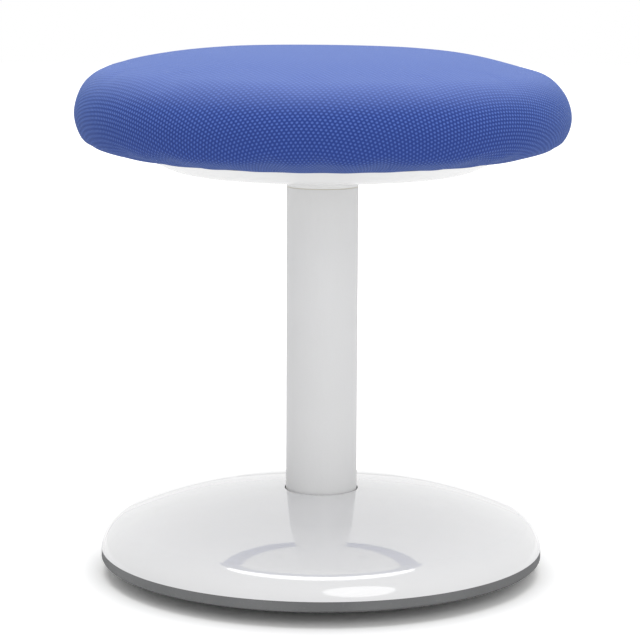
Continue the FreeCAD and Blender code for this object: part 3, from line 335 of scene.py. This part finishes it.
carried = {  # the solids that stay, under their finishes
    "domeGloss": ("base_dome",),
    "panGloss": ("seat_pan",),
    "columnSatin": ("column_tube",),
    "footRubber": ("rocker_foot",),
    "sealRubberAndGapShade": ("dome_seal",),
    "tubPlastic": ("base_tub",),
    "bushNylon": ("upper_bush", "lower_bush"),
    "castIron": ("ballast_casting",),
    "blackEnamel": ("column_flange", "swivel_plate"),
    "zincSteel": (
        "dome_screws", "ballast_screws", "flange_washers", "flange_bolts", "head_plug",
        "guide_plug", "spindle", "spindle_washer", "snap_ring", "seat_washers", "seat_bolts",
        "tee_nuts", "pan_screws"),
    "bearingSteel": ("lower_race", "bearing_balls", "upper_race"),
    "cageBrass": ("bearing_cage",),
    "birchPly": ("seat_board",),
}
for finish, solids in carried.items():
    for solid in solids:
        for slot in nodes[solid].material_slots:
            slot.material = finishes[finish]
print("solids dressed:", sum(len(solids) for solids in carried.values()))


# Cushion, in metres and degrees. Its outline is the solid's: arcs between the crown and the hem,
# whose slopes run from 0 at the crown to 90 at the widest place

cushion = {
    "crownSlope": 3.34,
    "crownSteps": 22,
    "shoulderSlope": 17.1,
    "shoulderArc": 0.281,
    "shoulderSteps": 16,
    "sideArc": 0.0296,
    "sideSteps": 16,
    "lowerSideArc": 0.031,
    "lowerSideSlope": 63.6,  # counted back from 180, as lowerTurnSlope is
    "lowerSideSteps": 7,
    "lowerTurnArc": 0.0165,
    "lowerTurnSlope": 21.3,
    "lowerTurnSteps": 6,
    "undersideArc": 0.119,
    "undersideSteps": 8,
    "flatRadius": 0.121,  # where the cover's hem starts to lie flat
    "hemRadius": 0.103,
    "hemSteps": 4,
    "coverThickness": 0.0012,
    "around": 176,  # points round the rim
    "staples": 28,
    # the fabric map, by lengths from the widest place
    "crownEnd": (-0.04, -0.02),
    "crownShare": 0.905,  # what is left of its own length on the crown
    "drawnStart": (-0.002, 0.014),
    "drawnShare": 0.76,  # and where it is drawn out, under the widest place
    # unevenness: waves and the staples' pulls near the hem, and the sunk side
    "seed": 5,
    "waves": 7,
    "waveCounts": (2, 9),
    "waveSizes": (0.2, 1.0),
    "waveStart": (0.12, 0.15),  # radii
    "waveEnd": (0.004, 0.02),  # heights above the hem and above the widest place
    "waveShare": 0.9,
    "pull": 0.0006,
    "pullStart": (0.112, 0.128),  # radii
    "pullEnd": (0.135, 0.152),
    "pullTop": (0.004, 0.012),  # heights above the hem
    "pullShare": 0.5,
    "fullness": 0.0009,  # how much the lower side stands proud of the outline
    "fullDown": -0.6,
    "fullStart": (0.001, 0.014),  # above the hem
    "fullEnd": (-0.004, 0.012),  # above the widest place
    "lean": 0.4,  # degrees, down to the right
    "sag": 0.0014,  # how far the right shoulder has sunk
    "sagStart": (0.08, 0.15),  # to the right
    "sagRise": 0.02,  # above the widest place
    # cloth simulation
    "slack": 0.0008,  # the cover starts this much smaller and swells back
    "pinnedRise": 0.001,  # above the hem
    "stapleShare": 0.35,  # of the hem beside the staples that they hold
    "frames": 20,
    "cap": 0.0008,
    "cloth": {
        "mass": 0.3,
        "tension_stiffness": 25,
        "compression_stiffness": 25,
        "shear_stiffness": 12,
        "bending_stiffness": 4,
        "use_pressure": True,
        "uniform_pressure_force": 4.0,
        "quality": 6,
    },
}


def arcPoints(centre, radius, first, last, count):
    points = []
    for step in range(count + 1):
        slope = math.radians(first + (last - first) * step / count)
        points.append((centre[0] + radius * math.sin(slope), centre[1] + radius * math.cos(slope)))
    return points


def arcCentre(point, radius, slope):
    turn = math.radians(slope)
    return point[0] - radius * math.sin(turn), point[1] - radius * math.cos(turn)


def cushionOutline(setting, radius, top):
    sine = {key: math.sin(math.radians(setting[key])) for key in ("crownSlope", "shoulderSlope")}
    shoulderR = radius - setting["sideArc"] * (1 - sine["shoulderSlope"])
    crownR = shoulderR - setting["shoulderArc"] * (sine["shoulderSlope"] - sine["crownSlope"])
    crownArc = crownR / sine["crownSlope"]
    slope = setting["crownSlope"]
    points = arcPoints((0.0, top - crownArc), crownArc, 0.0, slope, setting["crownSteps"])
    stretches = (
        ("shoulder", setting["shoulderSlope"]),
        ("side", 90.0),
        ("lowerSide", 180 - setting["lowerSideSlope"]),
        ("lowerTurn", 180 - setting["lowerTurnSlope"]))
    for name, last in stretches:
        arc = setting[name + "Arc"]
        centre = arcCentre(points[-1], arc, slope)
        points += arcPoints(centre, arc, slope, last, setting[name + "Steps"])[1:]
        slope = last
    arc = setting["undersideArc"]
    centre = arcCentre(points[-1], arc, slope)
    flatSlope = 180 - math.degrees(math.asin((setting["flatRadius"] - centre[0]) / arc))
    points += arcPoints(centre, arc, slope, flatSlope, setting["undersideSteps"])[1:]
    hemWidth = setting["hemRadius"] - setting["flatRadius"]
    for step in range(1, setting["hemSteps"] + 1):
        across = setting["flatRadius"] + hemWidth * step / setting["hemSteps"]
        points.append((across, points[-1][1]))
    return points


def ease(value, low, high):
    share = min(max((value - low) / (high - low), 0.0), 1.0)
    return share * share * (3 - 2 * share)


def between(value, start, end):
    return ease(value, *start) * (1 - ease(value, *end))


def above(base, heights):
    return [base + height for height in heights]


def fabricLengths(points, setting):
    # the fabric's own lengths: it is drawn out where it goes over the side
    lengths = [0.0]
    for before, after in zip(points, points[1:]):
        lengths.append(lengths[-1] + math.dist(before, after))
    wide = lengths[max(range(len(points)), key=lambda index: points[index][0])]
    reach = [0.0]
    for before, after in zip(lengths, lengths[1:]):
        middle = (before + after) / 2
        onCrown = 1 - ease(middle, *above(wide, setting["crownEnd"]))
        drawn = ease(middle, *above(wide, setting["drawnStart"]))
        share = 1 + (setting["crownShare"] - 1) * onCrown + (setting["drawnShare"] - 1) * drawn
        reach.append(reach[-1] + (after - before) * share)
    return reach


def discPlace(across, up):
    # a square's point goes to a disc, so that the crown has no pole
    if across == 0 and up == 0:
        return 0.0, 0.0
    if abs(across) > abs(up):
        return abs(across), math.pi / 4 * up / across + (math.pi if across < 0 else 0.0)
    return abs(up), math.pi / 2 - math.pi / 4 * across / up + (math.pi if up < 0 else 0.0)


def onCircle(radius, turn):
    return radius * math.cos(turn), radius * math.sin(turn)


def pieceFrom(build, name):
    bmesh.ops.recalc_face_normals(build, faces=build.faces)
    mesh = bpy.data.meshes.new(name)
    build.to_mesh(mesh)
    build.free()
    return newObject(name, mesh)


def cushionMesh(name, outline, around, crownCount, closeWith=()):
    # with a cloth map in metres: the fabric lies flat on the crown and is pulled down the side
    lengths = fabricLengths(outline, cushion)
    crownR, crownZ = outline[crownCount]
    rise = outline[0][1] - crownZ
    crownArc = (crownR ** 2 + rise ** 2) / (2 * rise)
    build = bmesh.new()
    cloth = build.loops.layers.uv.new("cloth")
    flat = {}
    side = around // 4
    grid = {}
    for row in range(side + 1):
        for column in range(side + 1):
            share, turn = discPlace(2 * column / side - 1, 2 * row / side - 1)
            across = share * crownR
            up = outline[0][1] - crownArc + math.sqrt(crownArc ** 2 - across ** 2)
            vertex = build.verts.new((*onCircle(across, turn), up))
            flat[vertex] = onCircle(share * lengths[crownCount], turn)
            grid[column, row] = vertex
    faces = []
    for row in range(side):
        for column in range(side):
            faces.append((
                grid[column, row], grid[column + 1, row],
                grid[column + 1, row + 1], grid[column, row + 1]))
    edge = [grid[side, row] for row in range(side // 2, side)]
    edge += [grid[column, side] for column in range(side, 0, -1)]
    edge += [grid[0, row] for row in range(side, 0, -1)]
    edge += [grid[column, 0] for column in range(side)]
    edge += [grid[side, row] for row in range(side // 2)]
    rings = [edge]
    below = list(zip(outline, lengths))[crownCount + 1:]
    for (across, up), reach in below + [(point, lengths[-1]) for point in closeWith]:
        ring = []
        for step in range(around):
            turn = 2 * math.pi * step / around
            vertex = build.verts.new((*onCircle(across, turn), up))
            flat[vertex] = onCircle(reach, turn)
            ring.append(vertex)
        rings.append(ring)
    for inner, outer in zip(rings, rings[1:]):
        for step in range(around):
            after = (step + 1) % around
            faces.append((inner[step], outer[step], outer[after], inner[after]))
    if closeWith:
        faces.append(tuple(reversed(rings[-1])))
    for corners in faces:
        face = build.faces.new(corners)
        face.smooth = True
        for loop in face.loops:
            loop[cloth].uv = flat[loop.vert]
    return pieceFrom(build, name)


def evaluated(piece):
    return piece.evaluated_get(bpy.context.evaluated_depsgraph_get())


def applyModifiers(piece):
    mesh = bpy.data.meshes.new_from_object(evaluated(piece))
    piece.modifiers.clear()
    piece.data = mesh
    return piece


def swell(piece, setting, pinned):
    # cloth simulation: the cover fills out against its staples
    scene = bpy.context.scene
    group = piece.vertex_groups.new(name="staples")
    group.add(pinned, 1.0, "REPLACE")
    modifier = piece.modifiers.new("cloth", "CLOTH")
    for key, value in setting["cloth"].items():
        setattr(modifier.settings, key, value)
    modifier.settings.effector_weights.gravity = 0
    modifier.settings.vertex_group_mass = group.name
    modifier.point_cache.frame_start = 1
    modifier.point_cache.frame_end = setting["frames"]
    for number in range(1, setting["frames"] + 1):
        scene.frame_set(number)
    places = [vertex.co.copy() for vertex in evaluated(piece).data.vertices]
    piece.modifiers.remove(modifier)
    piece.vertex_groups.remove(group)
    scene.frame_set(1)
    return places


coverLow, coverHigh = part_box("seat_cover")
outline = cushionOutline(cushion, coverHigh[0], coverHigh[2])
hemZ = outline[-1][1]
wideZ = max(outline, key=lambda point: point[0])[1]
print("cover's hem at", round(hemZ * 1000, 2), "mm; the frame has", round(coverLow[2] * 1000, 2))


def unevenPlace(place, setting, waves):
    turn = math.atan2(place.y, place.x)
    across = math.hypot(place.x, place.y)
    wave = sum(size * math.sin(count * turn + shift) for count, shift, size in waves) / len(waves)
    waveLow, waveHigh = hemZ + setting["waveEnd"][0], wideZ + setting["waveEnd"][1]
    low = ease(across, *setting["waveStart"]) * (1 - ease(place.z, waveLow, waveHigh))
    pull = math.cos(setting["staples"] * turn)
    pull *= between(across, setting["pullStart"], setting["pullEnd"])
    pull *= 1 - ease(place.z, *above(hemZ, setting["pullTop"]))
    lift = setting["pull"] * (setting["pullShare"] * pull + setting["waveShare"] * wave * low)
    fullStart, fullEnd = above(hemZ, setting["fullStart"]), above(wideZ, setting["fullEnd"])
    out = Vector((math.cos(turn), math.sin(turn), setting["fullDown"]))
    out = out * between(place.z, fullStart, fullEnd) * setting["fullness"]
    return place + Vector((0, 0, lift)) + out


def ringOf(place):
    return round(math.hypot(place.x, place.y), 5), round(place.z, 5)


def swollenPlaces(piece, setting, places):
    # what a whole ring swells by is taken out, so that the size stays, and the rest is capped
    mesh = piece.data
    rings = [ringOf(vertex.co) for vertex in mesh.vertices]
    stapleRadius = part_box("cover_staples")[1][0]
    pinned = []
    for vertex, place in zip(mesh.vertices, places):
        turn = math.atan2(place.y, place.x)
        near = abs(math.sin(turn * setting["staples"] / 2)) < setting["stapleShare"]
        held = math.hypot(place.x, place.y) < (setting["flatRadius"] if near else stapleRadius)
        if held and place.z < hemZ + setting["pinnedRise"]:
            pinned.append(vertex.index)
        vertex.co = place * (1 - setting["slack"])
    swollen = swell(piece, setting, pinned)
    normals = [normal.vector.copy() for normal in mesh.vertex_normals]
    grown = [(after - place).dot(normal) for after, place, normal in zip(swollen, places, normals)]
    shares = {}
    for ring, grow in zip(rings, grown):
        shares.setdefault(ring, []).append(grow)
    means = {ring: sum(same) / len(same) for ring, same in shares.items()}
    cap = setting["cap"]
    folds = [cap * math.tanh((grow - means[ring]) / cap) for ring, grow in zip(rings, grown)]
    print("cover simulated; folds up to", round(max(map(abs, folds)) * 1000, 2), "mm")
    return [place + normal * fold for place, normal, fold in zip(places, normals, folds)]


def makeCover(setting):
    piece = cushionMesh("cushionCover", outline, setting["around"], setting["crownSteps"])
    chance = random.Random(setting["seed"])
    waves = []
    for number in range(setting["waves"]):
        count = chance.randint(*setting["waveCounts"])
        shift = chance.uniform(0, 2 * math.pi)
        waves.append((count, shift, chance.uniform(*setting["waveSizes"])))
    places = [unevenPlace(vertex.co, setting, waves) for vertex in piece.data.vertices]
    places = swollenPlaces(piece, setting, places)
    lean = math.tan(math.radians(setting["lean"]))
    for vertex, place in zip(piece.data.vertices, places):
        place.z -= place.x * lean * ease(place.z, hemZ + setting["pinnedRise"], wideZ)
        sunk = setting["sag"] * ease(place.x, *setting["sagStart"])
        place.z -= sunk * ease(place.z, wideZ, wideZ + setting["sagRise"])
        vertex.co = place
    thick = piece.modifiers.new("thickness", "SOLIDIFY")
    thick.thickness = setting["coverThickness"]
    thick.offset = -1
    smooth = piece.modifiers.new("smooth", "SUBSURF")
    smooth.levels = smooth.render_levels = 1
    return applyModifiers(piece)


cover = makeCover(cushion)
print("cover:", len(cover.data.polygons), "faces")

# Foam: the same outline further in, open at the board that it wraps

foam = {
    "gap": 0.0042,  # the foam's skin lies this far inside the cover's
    "around": 96,
    "boardGap": 0.0002,
}


def makeFoam(setting):
    inner = []
    for index, (across, up) in enumerate(outline):
        before = outline[max(index - 1, 0)]
        after = outline[min(index + 1, len(outline) - 1)]
        run = math.dist(before, after)
        inX, inZ = (before[1] - after[1]) / run, (after[0] - before[0]) / run
        inner.append((max(across - inX * setting["gap"], 0.0), up - inZ * setting["gap"]))
    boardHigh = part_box("seat_board")[1]
    edge = boardHigh[0] + setting["boardGap"]
    lid = boardHigh[2] + setting["boardGap"]
    kept = [point for point in inner if point[1] > lid or point[0] > edge]
    closeWith = [(edge, kept[-1][1]), (edge, lid)]
    return cushionMesh("cushionFoam", kept, setting["around"], cushion["crownSteps"], closeWith)


foamPad = makeFoam(foam)
foamPad.data.materials.append(finishes["greyFoam"])
print("foam:", len(foamPad.data.polygons), "faces")

# Fabric: two sets of diagonal ribs that cross; a knot stands where they meet

fabric = {
    "firstRibs": (-345.0, -214.0),  # ribs per metre along the cloth map
    "secondRibs": (315.0, -320.0),
    "rowShare": 0.7,
    "knotStart": -1.0,  # sum of the ribs at which a knot starts to rise
    "knotTop": 1.9,
    "knotHeight": 0.0003,
    "wander": 0.0009,  # how far the knit strays
    "wanderScale": 28.0,
    "wanderDetail": 2.0,
    "fibreScale": 2600.0,
    "fibreDetail": 2.0,
    "fibreShade": 0.12,
    "fibreHeight": 0.08,  # in knots
    "fibreRoughness": 0.06,
    "driftScale": 16.0,
    "driftShade": 0.05,
    "knotColour": rgb(0.088, 0.158, 0.51),
    "gapColour": rgb(0.026, 0.054, 0.25),
    "paintedCrownSheen": rgb(0.17, 0.235, 0.55),  # painted sheen: the crown is coloured lighter and paler, standing in for the top light and the grazing sheen on it
    "paintedCrownSheenShare": 0.62,
    "paintedCrownSheenFrom": 0.321,  # heights between which this starts
    "paintedCrownSheenTo": 0.343,
    "paintedHemShade": -0.4,  # painted shade: the side darkens towards the hem, where it turns under and gets less light
    "paintedHemShadeFrom": 0.292,
    "paintedHemShadeTo": 0.322,
    "roughness": 0.85,
    "specular": 0.1,
    "sheen": 0.2,
    "sheenRoughness": 0.45,
    "sheenTint": rgb(0.5, 0.7, 1.0),
}


def clothFinish(name, look):
    material, tree, shader = newMaterial(name)
    place = objectPlace(tree)
    stray = noiseOf(
        tree, place, look["wanderScale"], look["wanderDetail"], output="Color")
    stray = vectorMath(tree, "SUBTRACT", stray, (0.5, 0.5, 0.5))
    stray = vectorMath(tree, "MULTIPLY", stray, [look["wander"]] * 3)
    cloth = addNode(tree, "ShaderNodeUVMap", uv_map="cloth").outputs["UV"]
    cloth = vectorMath(tree, "ADD", cloth, stray)
    first, second = look["firstRibs"], look["secondRibs"]
    ribs = []
    for ribX, ribY in (first, second, (first[0] + second[0], first[1] + second[1])):
        turn = (2 * math.pi * ribX, 2 * math.pi * ribY, 0.0)
        along = vectorMath(tree, "DOT_PRODUCT", cloth, turn, "Value")
        ribs.append(math2(tree, "COSINE", along))
    crossed = math2(tree, "ADD", ribs[0], ribs[1])
    crossed = math2(tree, "ADD", crossed, math2(tree, "MULTIPLY", ribs[2], look["rowShare"]))
    knot = remap(tree, crossed, look["knotStart"], look["knotTop"], curve="SMOOTHSTEP")
    fibre = noiseOf(tree, place, look["fibreScale"], look["fibreDetail"])
    drift = noiseOf(tree, place, look["driftScale"])
    height = heightOf(tree, place)
    # the knit's knots, fibre and drift set the tone, and painted shade darkens it towards the hem
    knitAndPaintedShade = knot
    for change in (
            spread(tree, fibre, -look["fibreShade"], look["fibreShade"]),
            spread(tree, drift, -look["driftShade"], look["driftShade"]),
            remap(tree, height, look["paintedHemShadeFrom"], look["paintedHemShadeTo"], look["paintedHemShade"], 0.0)):
        knitAndPaintedShade = math2(tree, "ADD", knitAndPaintedShade, change)
    colour = mixColour(tree, knitAndPaintedShade, look["gapColour"], look["knotColour"])
    # painted sheen: towards the crown the colour is blended to a lighter, paler blue
    flat = remap(
        tree, height, look["paintedCrownSheenFrom"], look["paintedCrownSheenTo"], 0.0, look["paintedCrownSheenShare"], "SMOOTHSTEP")
    fluff = spread(tree, fibre, -look["fibreHeight"], look["fibreHeight"])
    rough, uneven = look["roughness"], look["fibreRoughness"]
    dress(tree, shader, {
        "Base Color": mixColour(tree, flat, colour, look["paintedCrownSheen"]),
        "Roughness": spread(tree, fibre, rough - uneven, rough + uneven),
        "Normal": bumpOf(tree, math2(tree, "ADD", knot, fluff), look["knotHeight"]),
        "Specular IOR Level": look["specular"],
        "Sheen Weight": look["sheen"],
        "Sheen Roughness": look["sheenRoughness"],
        "Sheen Tint": look["sheenTint"],
    })
    return material


cover.data.materials.append(clothFinish("blueMesh", fabric))
print("cover dressed")

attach(cover, "seat")
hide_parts("seat_cover")
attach(foamPad, "seat")
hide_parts("seat_foam")

# Staples through the cover's hem: bent wire, set round the board

staples = {
    "circle": 0.1085,
    "crown": 0.010,
    "wire": 0.0007,
    "bend": 0.0009,
    "bendSteps": 4,
    "sides": 8,
    "merge": 0.00001,
}


def nodeInput(tree, name, kind):
    return tree.interface.new_socket(name=name, in_out="INPUT", socket_type=kind).identifier


def stapleLine(tree, given, half):
    # one staple before it is bent: leg, crown, leg
    reach = math2(tree, "SUBTRACT", math2(tree, "MULTIPLY", given["Crown"], 0.5), half)
    base = addNode(tree, "ShaderNodeCombineXYZ", {"X": reach, "Z": half}).outputs[0]
    tip = addNode(tree, "ShaderNodeCombineXYZ", {"X": reach, "Z": given["Leg"]}).outputs[0]
    farBase, farTip = (
        vectorMath(tree, "MULTIPLY", corner, (-1.0, 1.0, 1.0)) for corner in (base, tip))
    joined = tree.nodes.new("GeometryNodeJoinGeometry")
    for start, end in ((base, tip), (farBase, base), (farTip, farBase)):
        leg = addNode(tree, "GeometryNodeCurvePrimitiveLine", {"Start": start, "End": end})
        tree.links.new(leg.outputs[0], joined.inputs[0])
    return joined.outputs[0]


def makeStaples(setting, count, finish):
    low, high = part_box("cover_staples")
    values = {
        "Circle": setting["circle"], "Crown": setting["crown"], "Leg": high[2] - low[2],
        "Wire": setting["wire"], "Bend": setting["bend"], "Height": low[2]}
    tree = bpy.data.node_groups.new("stapleRow", "GeometryNodeTree")
    keys = {name: nodeInput(tree, name, "NodeSocketFloat") for name in values}
    keys["Staples"] = nodeInput(tree, "Staples", "NodeSocketInt")
    keys["Finish"] = nodeInput(tree, "Finish", "NodeSocketMaterial")
    values.update({"Staples": count, "Finish": finish})
    tree.interface.new_socket(
        name="Geometry", in_out="OUTPUT", socket_type="NodeSocketGeometry")

    def step(kind, inputs, **settings):
        return addNode(tree, kind, inputs, **settings).outputs[0]

    given = tree.nodes.new("NodeGroupInput").outputs
    half = math2(tree, "MULTIPLY", given["Wire"], 0.5)
    line = step("GeometryNodeCurveToMesh", {"Curve": stapleLine(tree, given, half)})
    line = step("GeometryNodeMergeByDistance", {
        "Geometry": line, "Distance": setting["merge"]})
    path = step("GeometryNodeMeshToCurve", {"Mesh": line})
    path = step("GeometryNodeFilletCurve", {
        "Curve": path, "Radius": given["Bend"], "Count": setting["bendSteps"]}, mode="POLY")
    ring = step("GeometryNodeCurvePrimitiveCircle", {
        "Resolution": setting["sides"], "Radius": half})
    wire = step("GeometryNodeCurveToMesh", {
        "Curve": path, "Profile Curve": ring, "Fill Caps": True})
    circle = step("GeometryNodeMeshCircle", {
        "Vertices": given["Staples"], "Radius": given["Circle"]})
    index = tree.nodes.new("GeometryNodeInputIndex").outputs[0]
    apart = math2(tree, "DIVIDE", 2 * math.pi, given["Staples"])
    turn = math2(tree, "ADD", math2(tree, "MULTIPLY", index, apart), math.pi / 2)
    row = step("GeometryNodeInstanceOnPoints", {
        "Points": circle, "Instance": wire,
        "Rotation": step("ShaderNodeCombineXYZ", {"Z": turn})})
    row = step("GeometryNodeTranslateInstances", {
        "Instances": row, "Local Space": False,
        "Translation": step("ShaderNodeCombineXYZ", {"Z": given["Height"]})})
    row = step("GeometryNodeRealizeInstances", {"Geometry": row})
    row = step("GeometryNodeSetMaterial", {"Geometry": row, "Material": given["Finish"]})
    addNode(tree, "NodeGroupOutput", {0: row})
    piece = newObject("stapleWires", bpy.data.meshes.new("stapleWires"))
    modifier = piece.modifiers.new("stapleRow", "NODES")
    modifier.node_group = tree
    for name, value in values.items():
        modifier[keys[name]] = value
    return applyModifiers(piece)


stapleWires = makeStaples(staples, cushion["staples"], finishes["zincSteel"])
print("staples:", len(stapleWires.data.polygons), "faces")
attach(stapleWires, "seat")
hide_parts("cover_staples")

# Slip ring: thin nylon between the column's end and the turning neck

slipRing = {
    "inner": 0.0226,
    "outer": 0.02405,
    "low": 0.00004,  # above the column's end
    "thickness": 0.0005,
    "round": 0.00012,
    "around": 96,
}


def makeSlipRing(setting, finish):
    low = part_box("column_tube")[1][2] + setting["low"]
    high = low + setting["thickness"]
    inner, outer, edge = setting["inner"], setting["outer"], setting["round"]
    profile = (
        (inner, low + edge), (inner + edge, low), (outer - edge, low), (outer, low + edge),
        (outer, high - edge), (outer - edge, high), (inner + edge, high), (inner, high - edge))
    build = bmesh.new()
    rings = []
    for step in range(setting["around"]):
        turn = 2 * math.pi * step / setting["around"]
        rings.append([build.verts.new((*onCircle(across, turn), up)) for across, up in profile])
    for step, ring in enumerate(rings):
        after = rings[(step + 1) % len(rings)]
        for corner in range(len(profile)):
            far = (corner + 1) % len(profile)
            build.faces.new((ring[corner], after[corner], after[far], ring[far]))
    piece = pieceFrom(build, "neckSlipRing")
    piece.data.materials.append(finish)
    return piece


neckSlipRing = makeSlipRing(slipRing, finishes["bushNylon"])
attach(neckSlipRing, "base")
print("slip ring made")

# Studio: a white sweep and soft light from above and from the front right

studio = {
    "floorSize": 12.0,
    "floorColour": grey(0.88),
    "grainColour": grey(0.86),
    "grainScale": 40.0,
    "nearColour": rgb(1.14, 1.14, 1.13),  # the floor as the camera sees it, so that it goes white; lower near the stool, so that its contact shadow stays
    # painted light: further out the floor is brightened more, which turns the stool's wider shade
    # white as well
    "farColour": grey(1.7),
    "nearReach": 0.15,
    "farReach": 0.5,
    "roomLight": 0.76,
    "lamps": {
        "topSoftbox": {
            "place": (0.0, 0.15, 2.6), "aim": (0.0, 0.0, 0.0), "size": 2.4, "power": 36.0},
        "frontSoftbox": {
            "place": (1.0, -2.7, 1.5), "aim": (0.0, 0.0, 0.2), "size": 2.0, "power": 17.0},
    },
}


def anyRay(tree, *kinds):
    path = tree.nodes.new("ShaderNodeLightPath")
    seen = path.outputs[kinds[0]]
    for kind in kinds[1:]:
        seen = math2(tree, "MAXIMUM", seen, path.outputs[kind])
    return seen


def makeFloor(setting):
    half = setting["floorSize"] / 2
    corners = [(-half, -half, 0), (half, -half, 0), (half, half, 0), (-half, half, 0)]
    mesh = bpy.data.meshes.new("studioFloor")
    mesh.from_pydata(corners, [], [(0, 1, 2, 3)])
    floor = newObject("studioFloor", mesh)
    material, tree, shader = newMaterial("paperSweep", "ShaderNodeBsdfDiffuse")
    place = objectPlace(tree)
    grain = noiseOf(tree, place, setting["grainScale"])
    paper = mixColour(tree, grain, setting["floorColour"], setting["grainColour"])
    # painted light: the camera sees the floor brightened more with distance from the stool,
    # lifting its wider shade to white
    apart = vectorMath(tree, "LENGTH", place, output="Value")
    apart = remap(tree, apart, setting["nearReach"], setting["farReach"])
    shown = mixColour(tree, apart, setting["nearColour"], setting["farColour"])
    seen = anyRay(tree, "Is Camera Ray", "Is Transmission Ray")
    dress(tree, shader, {"Color": mixColour(tree, seen, paper, shown)})
    mesh.materials.append(material)


def makeWorld(setting):
    world = bpy.data.worlds.new("studioRoom")
    bpy.context.scene.world = world
    world.use_nodes = True
    tree = world.node_tree
    tree.nodes.clear()
    room, white = (
        addNode(tree, "ShaderNodeBackground", {"Color": grey(1.0), "Strength": strength})
        for strength in (setting["roomLight"], 1.0))
    seen = anyRay(tree, "Is Camera Ray", "Is Transmission Ray", "Is Glossy Ray")
    mix = addNode(tree, "ShaderNodeMixShader", {
        0: seen, 1: room.outputs[0], 2: white.outputs[0]})
    addNode(tree, "ShaderNodeOutputWorld", {"Surface": mix.outputs[0]})


def makeLamp(name, setting):
    data = bpy.data.lights.new(name, "AREA")
    data.shape = "DISK"
    data.size = setting["size"]
    data.energy = setting["power"]
    lamp = newObject(name, data)
    lamp.location = setting["place"]
    towards = Vector(setting["aim"]) - Vector(setting["place"])
    lamp.rotation_euler = towards.to_track_quat("-Z", "Y").to_euler()


makeFloor(studio)
makeWorld(studio)
for name, lamp in studio["lamps"].items():
    makeLamp(name, lamp)
bpy.context.scene.view_settings.view_transform = "Standard"
print("studio made")

print("scene ready")
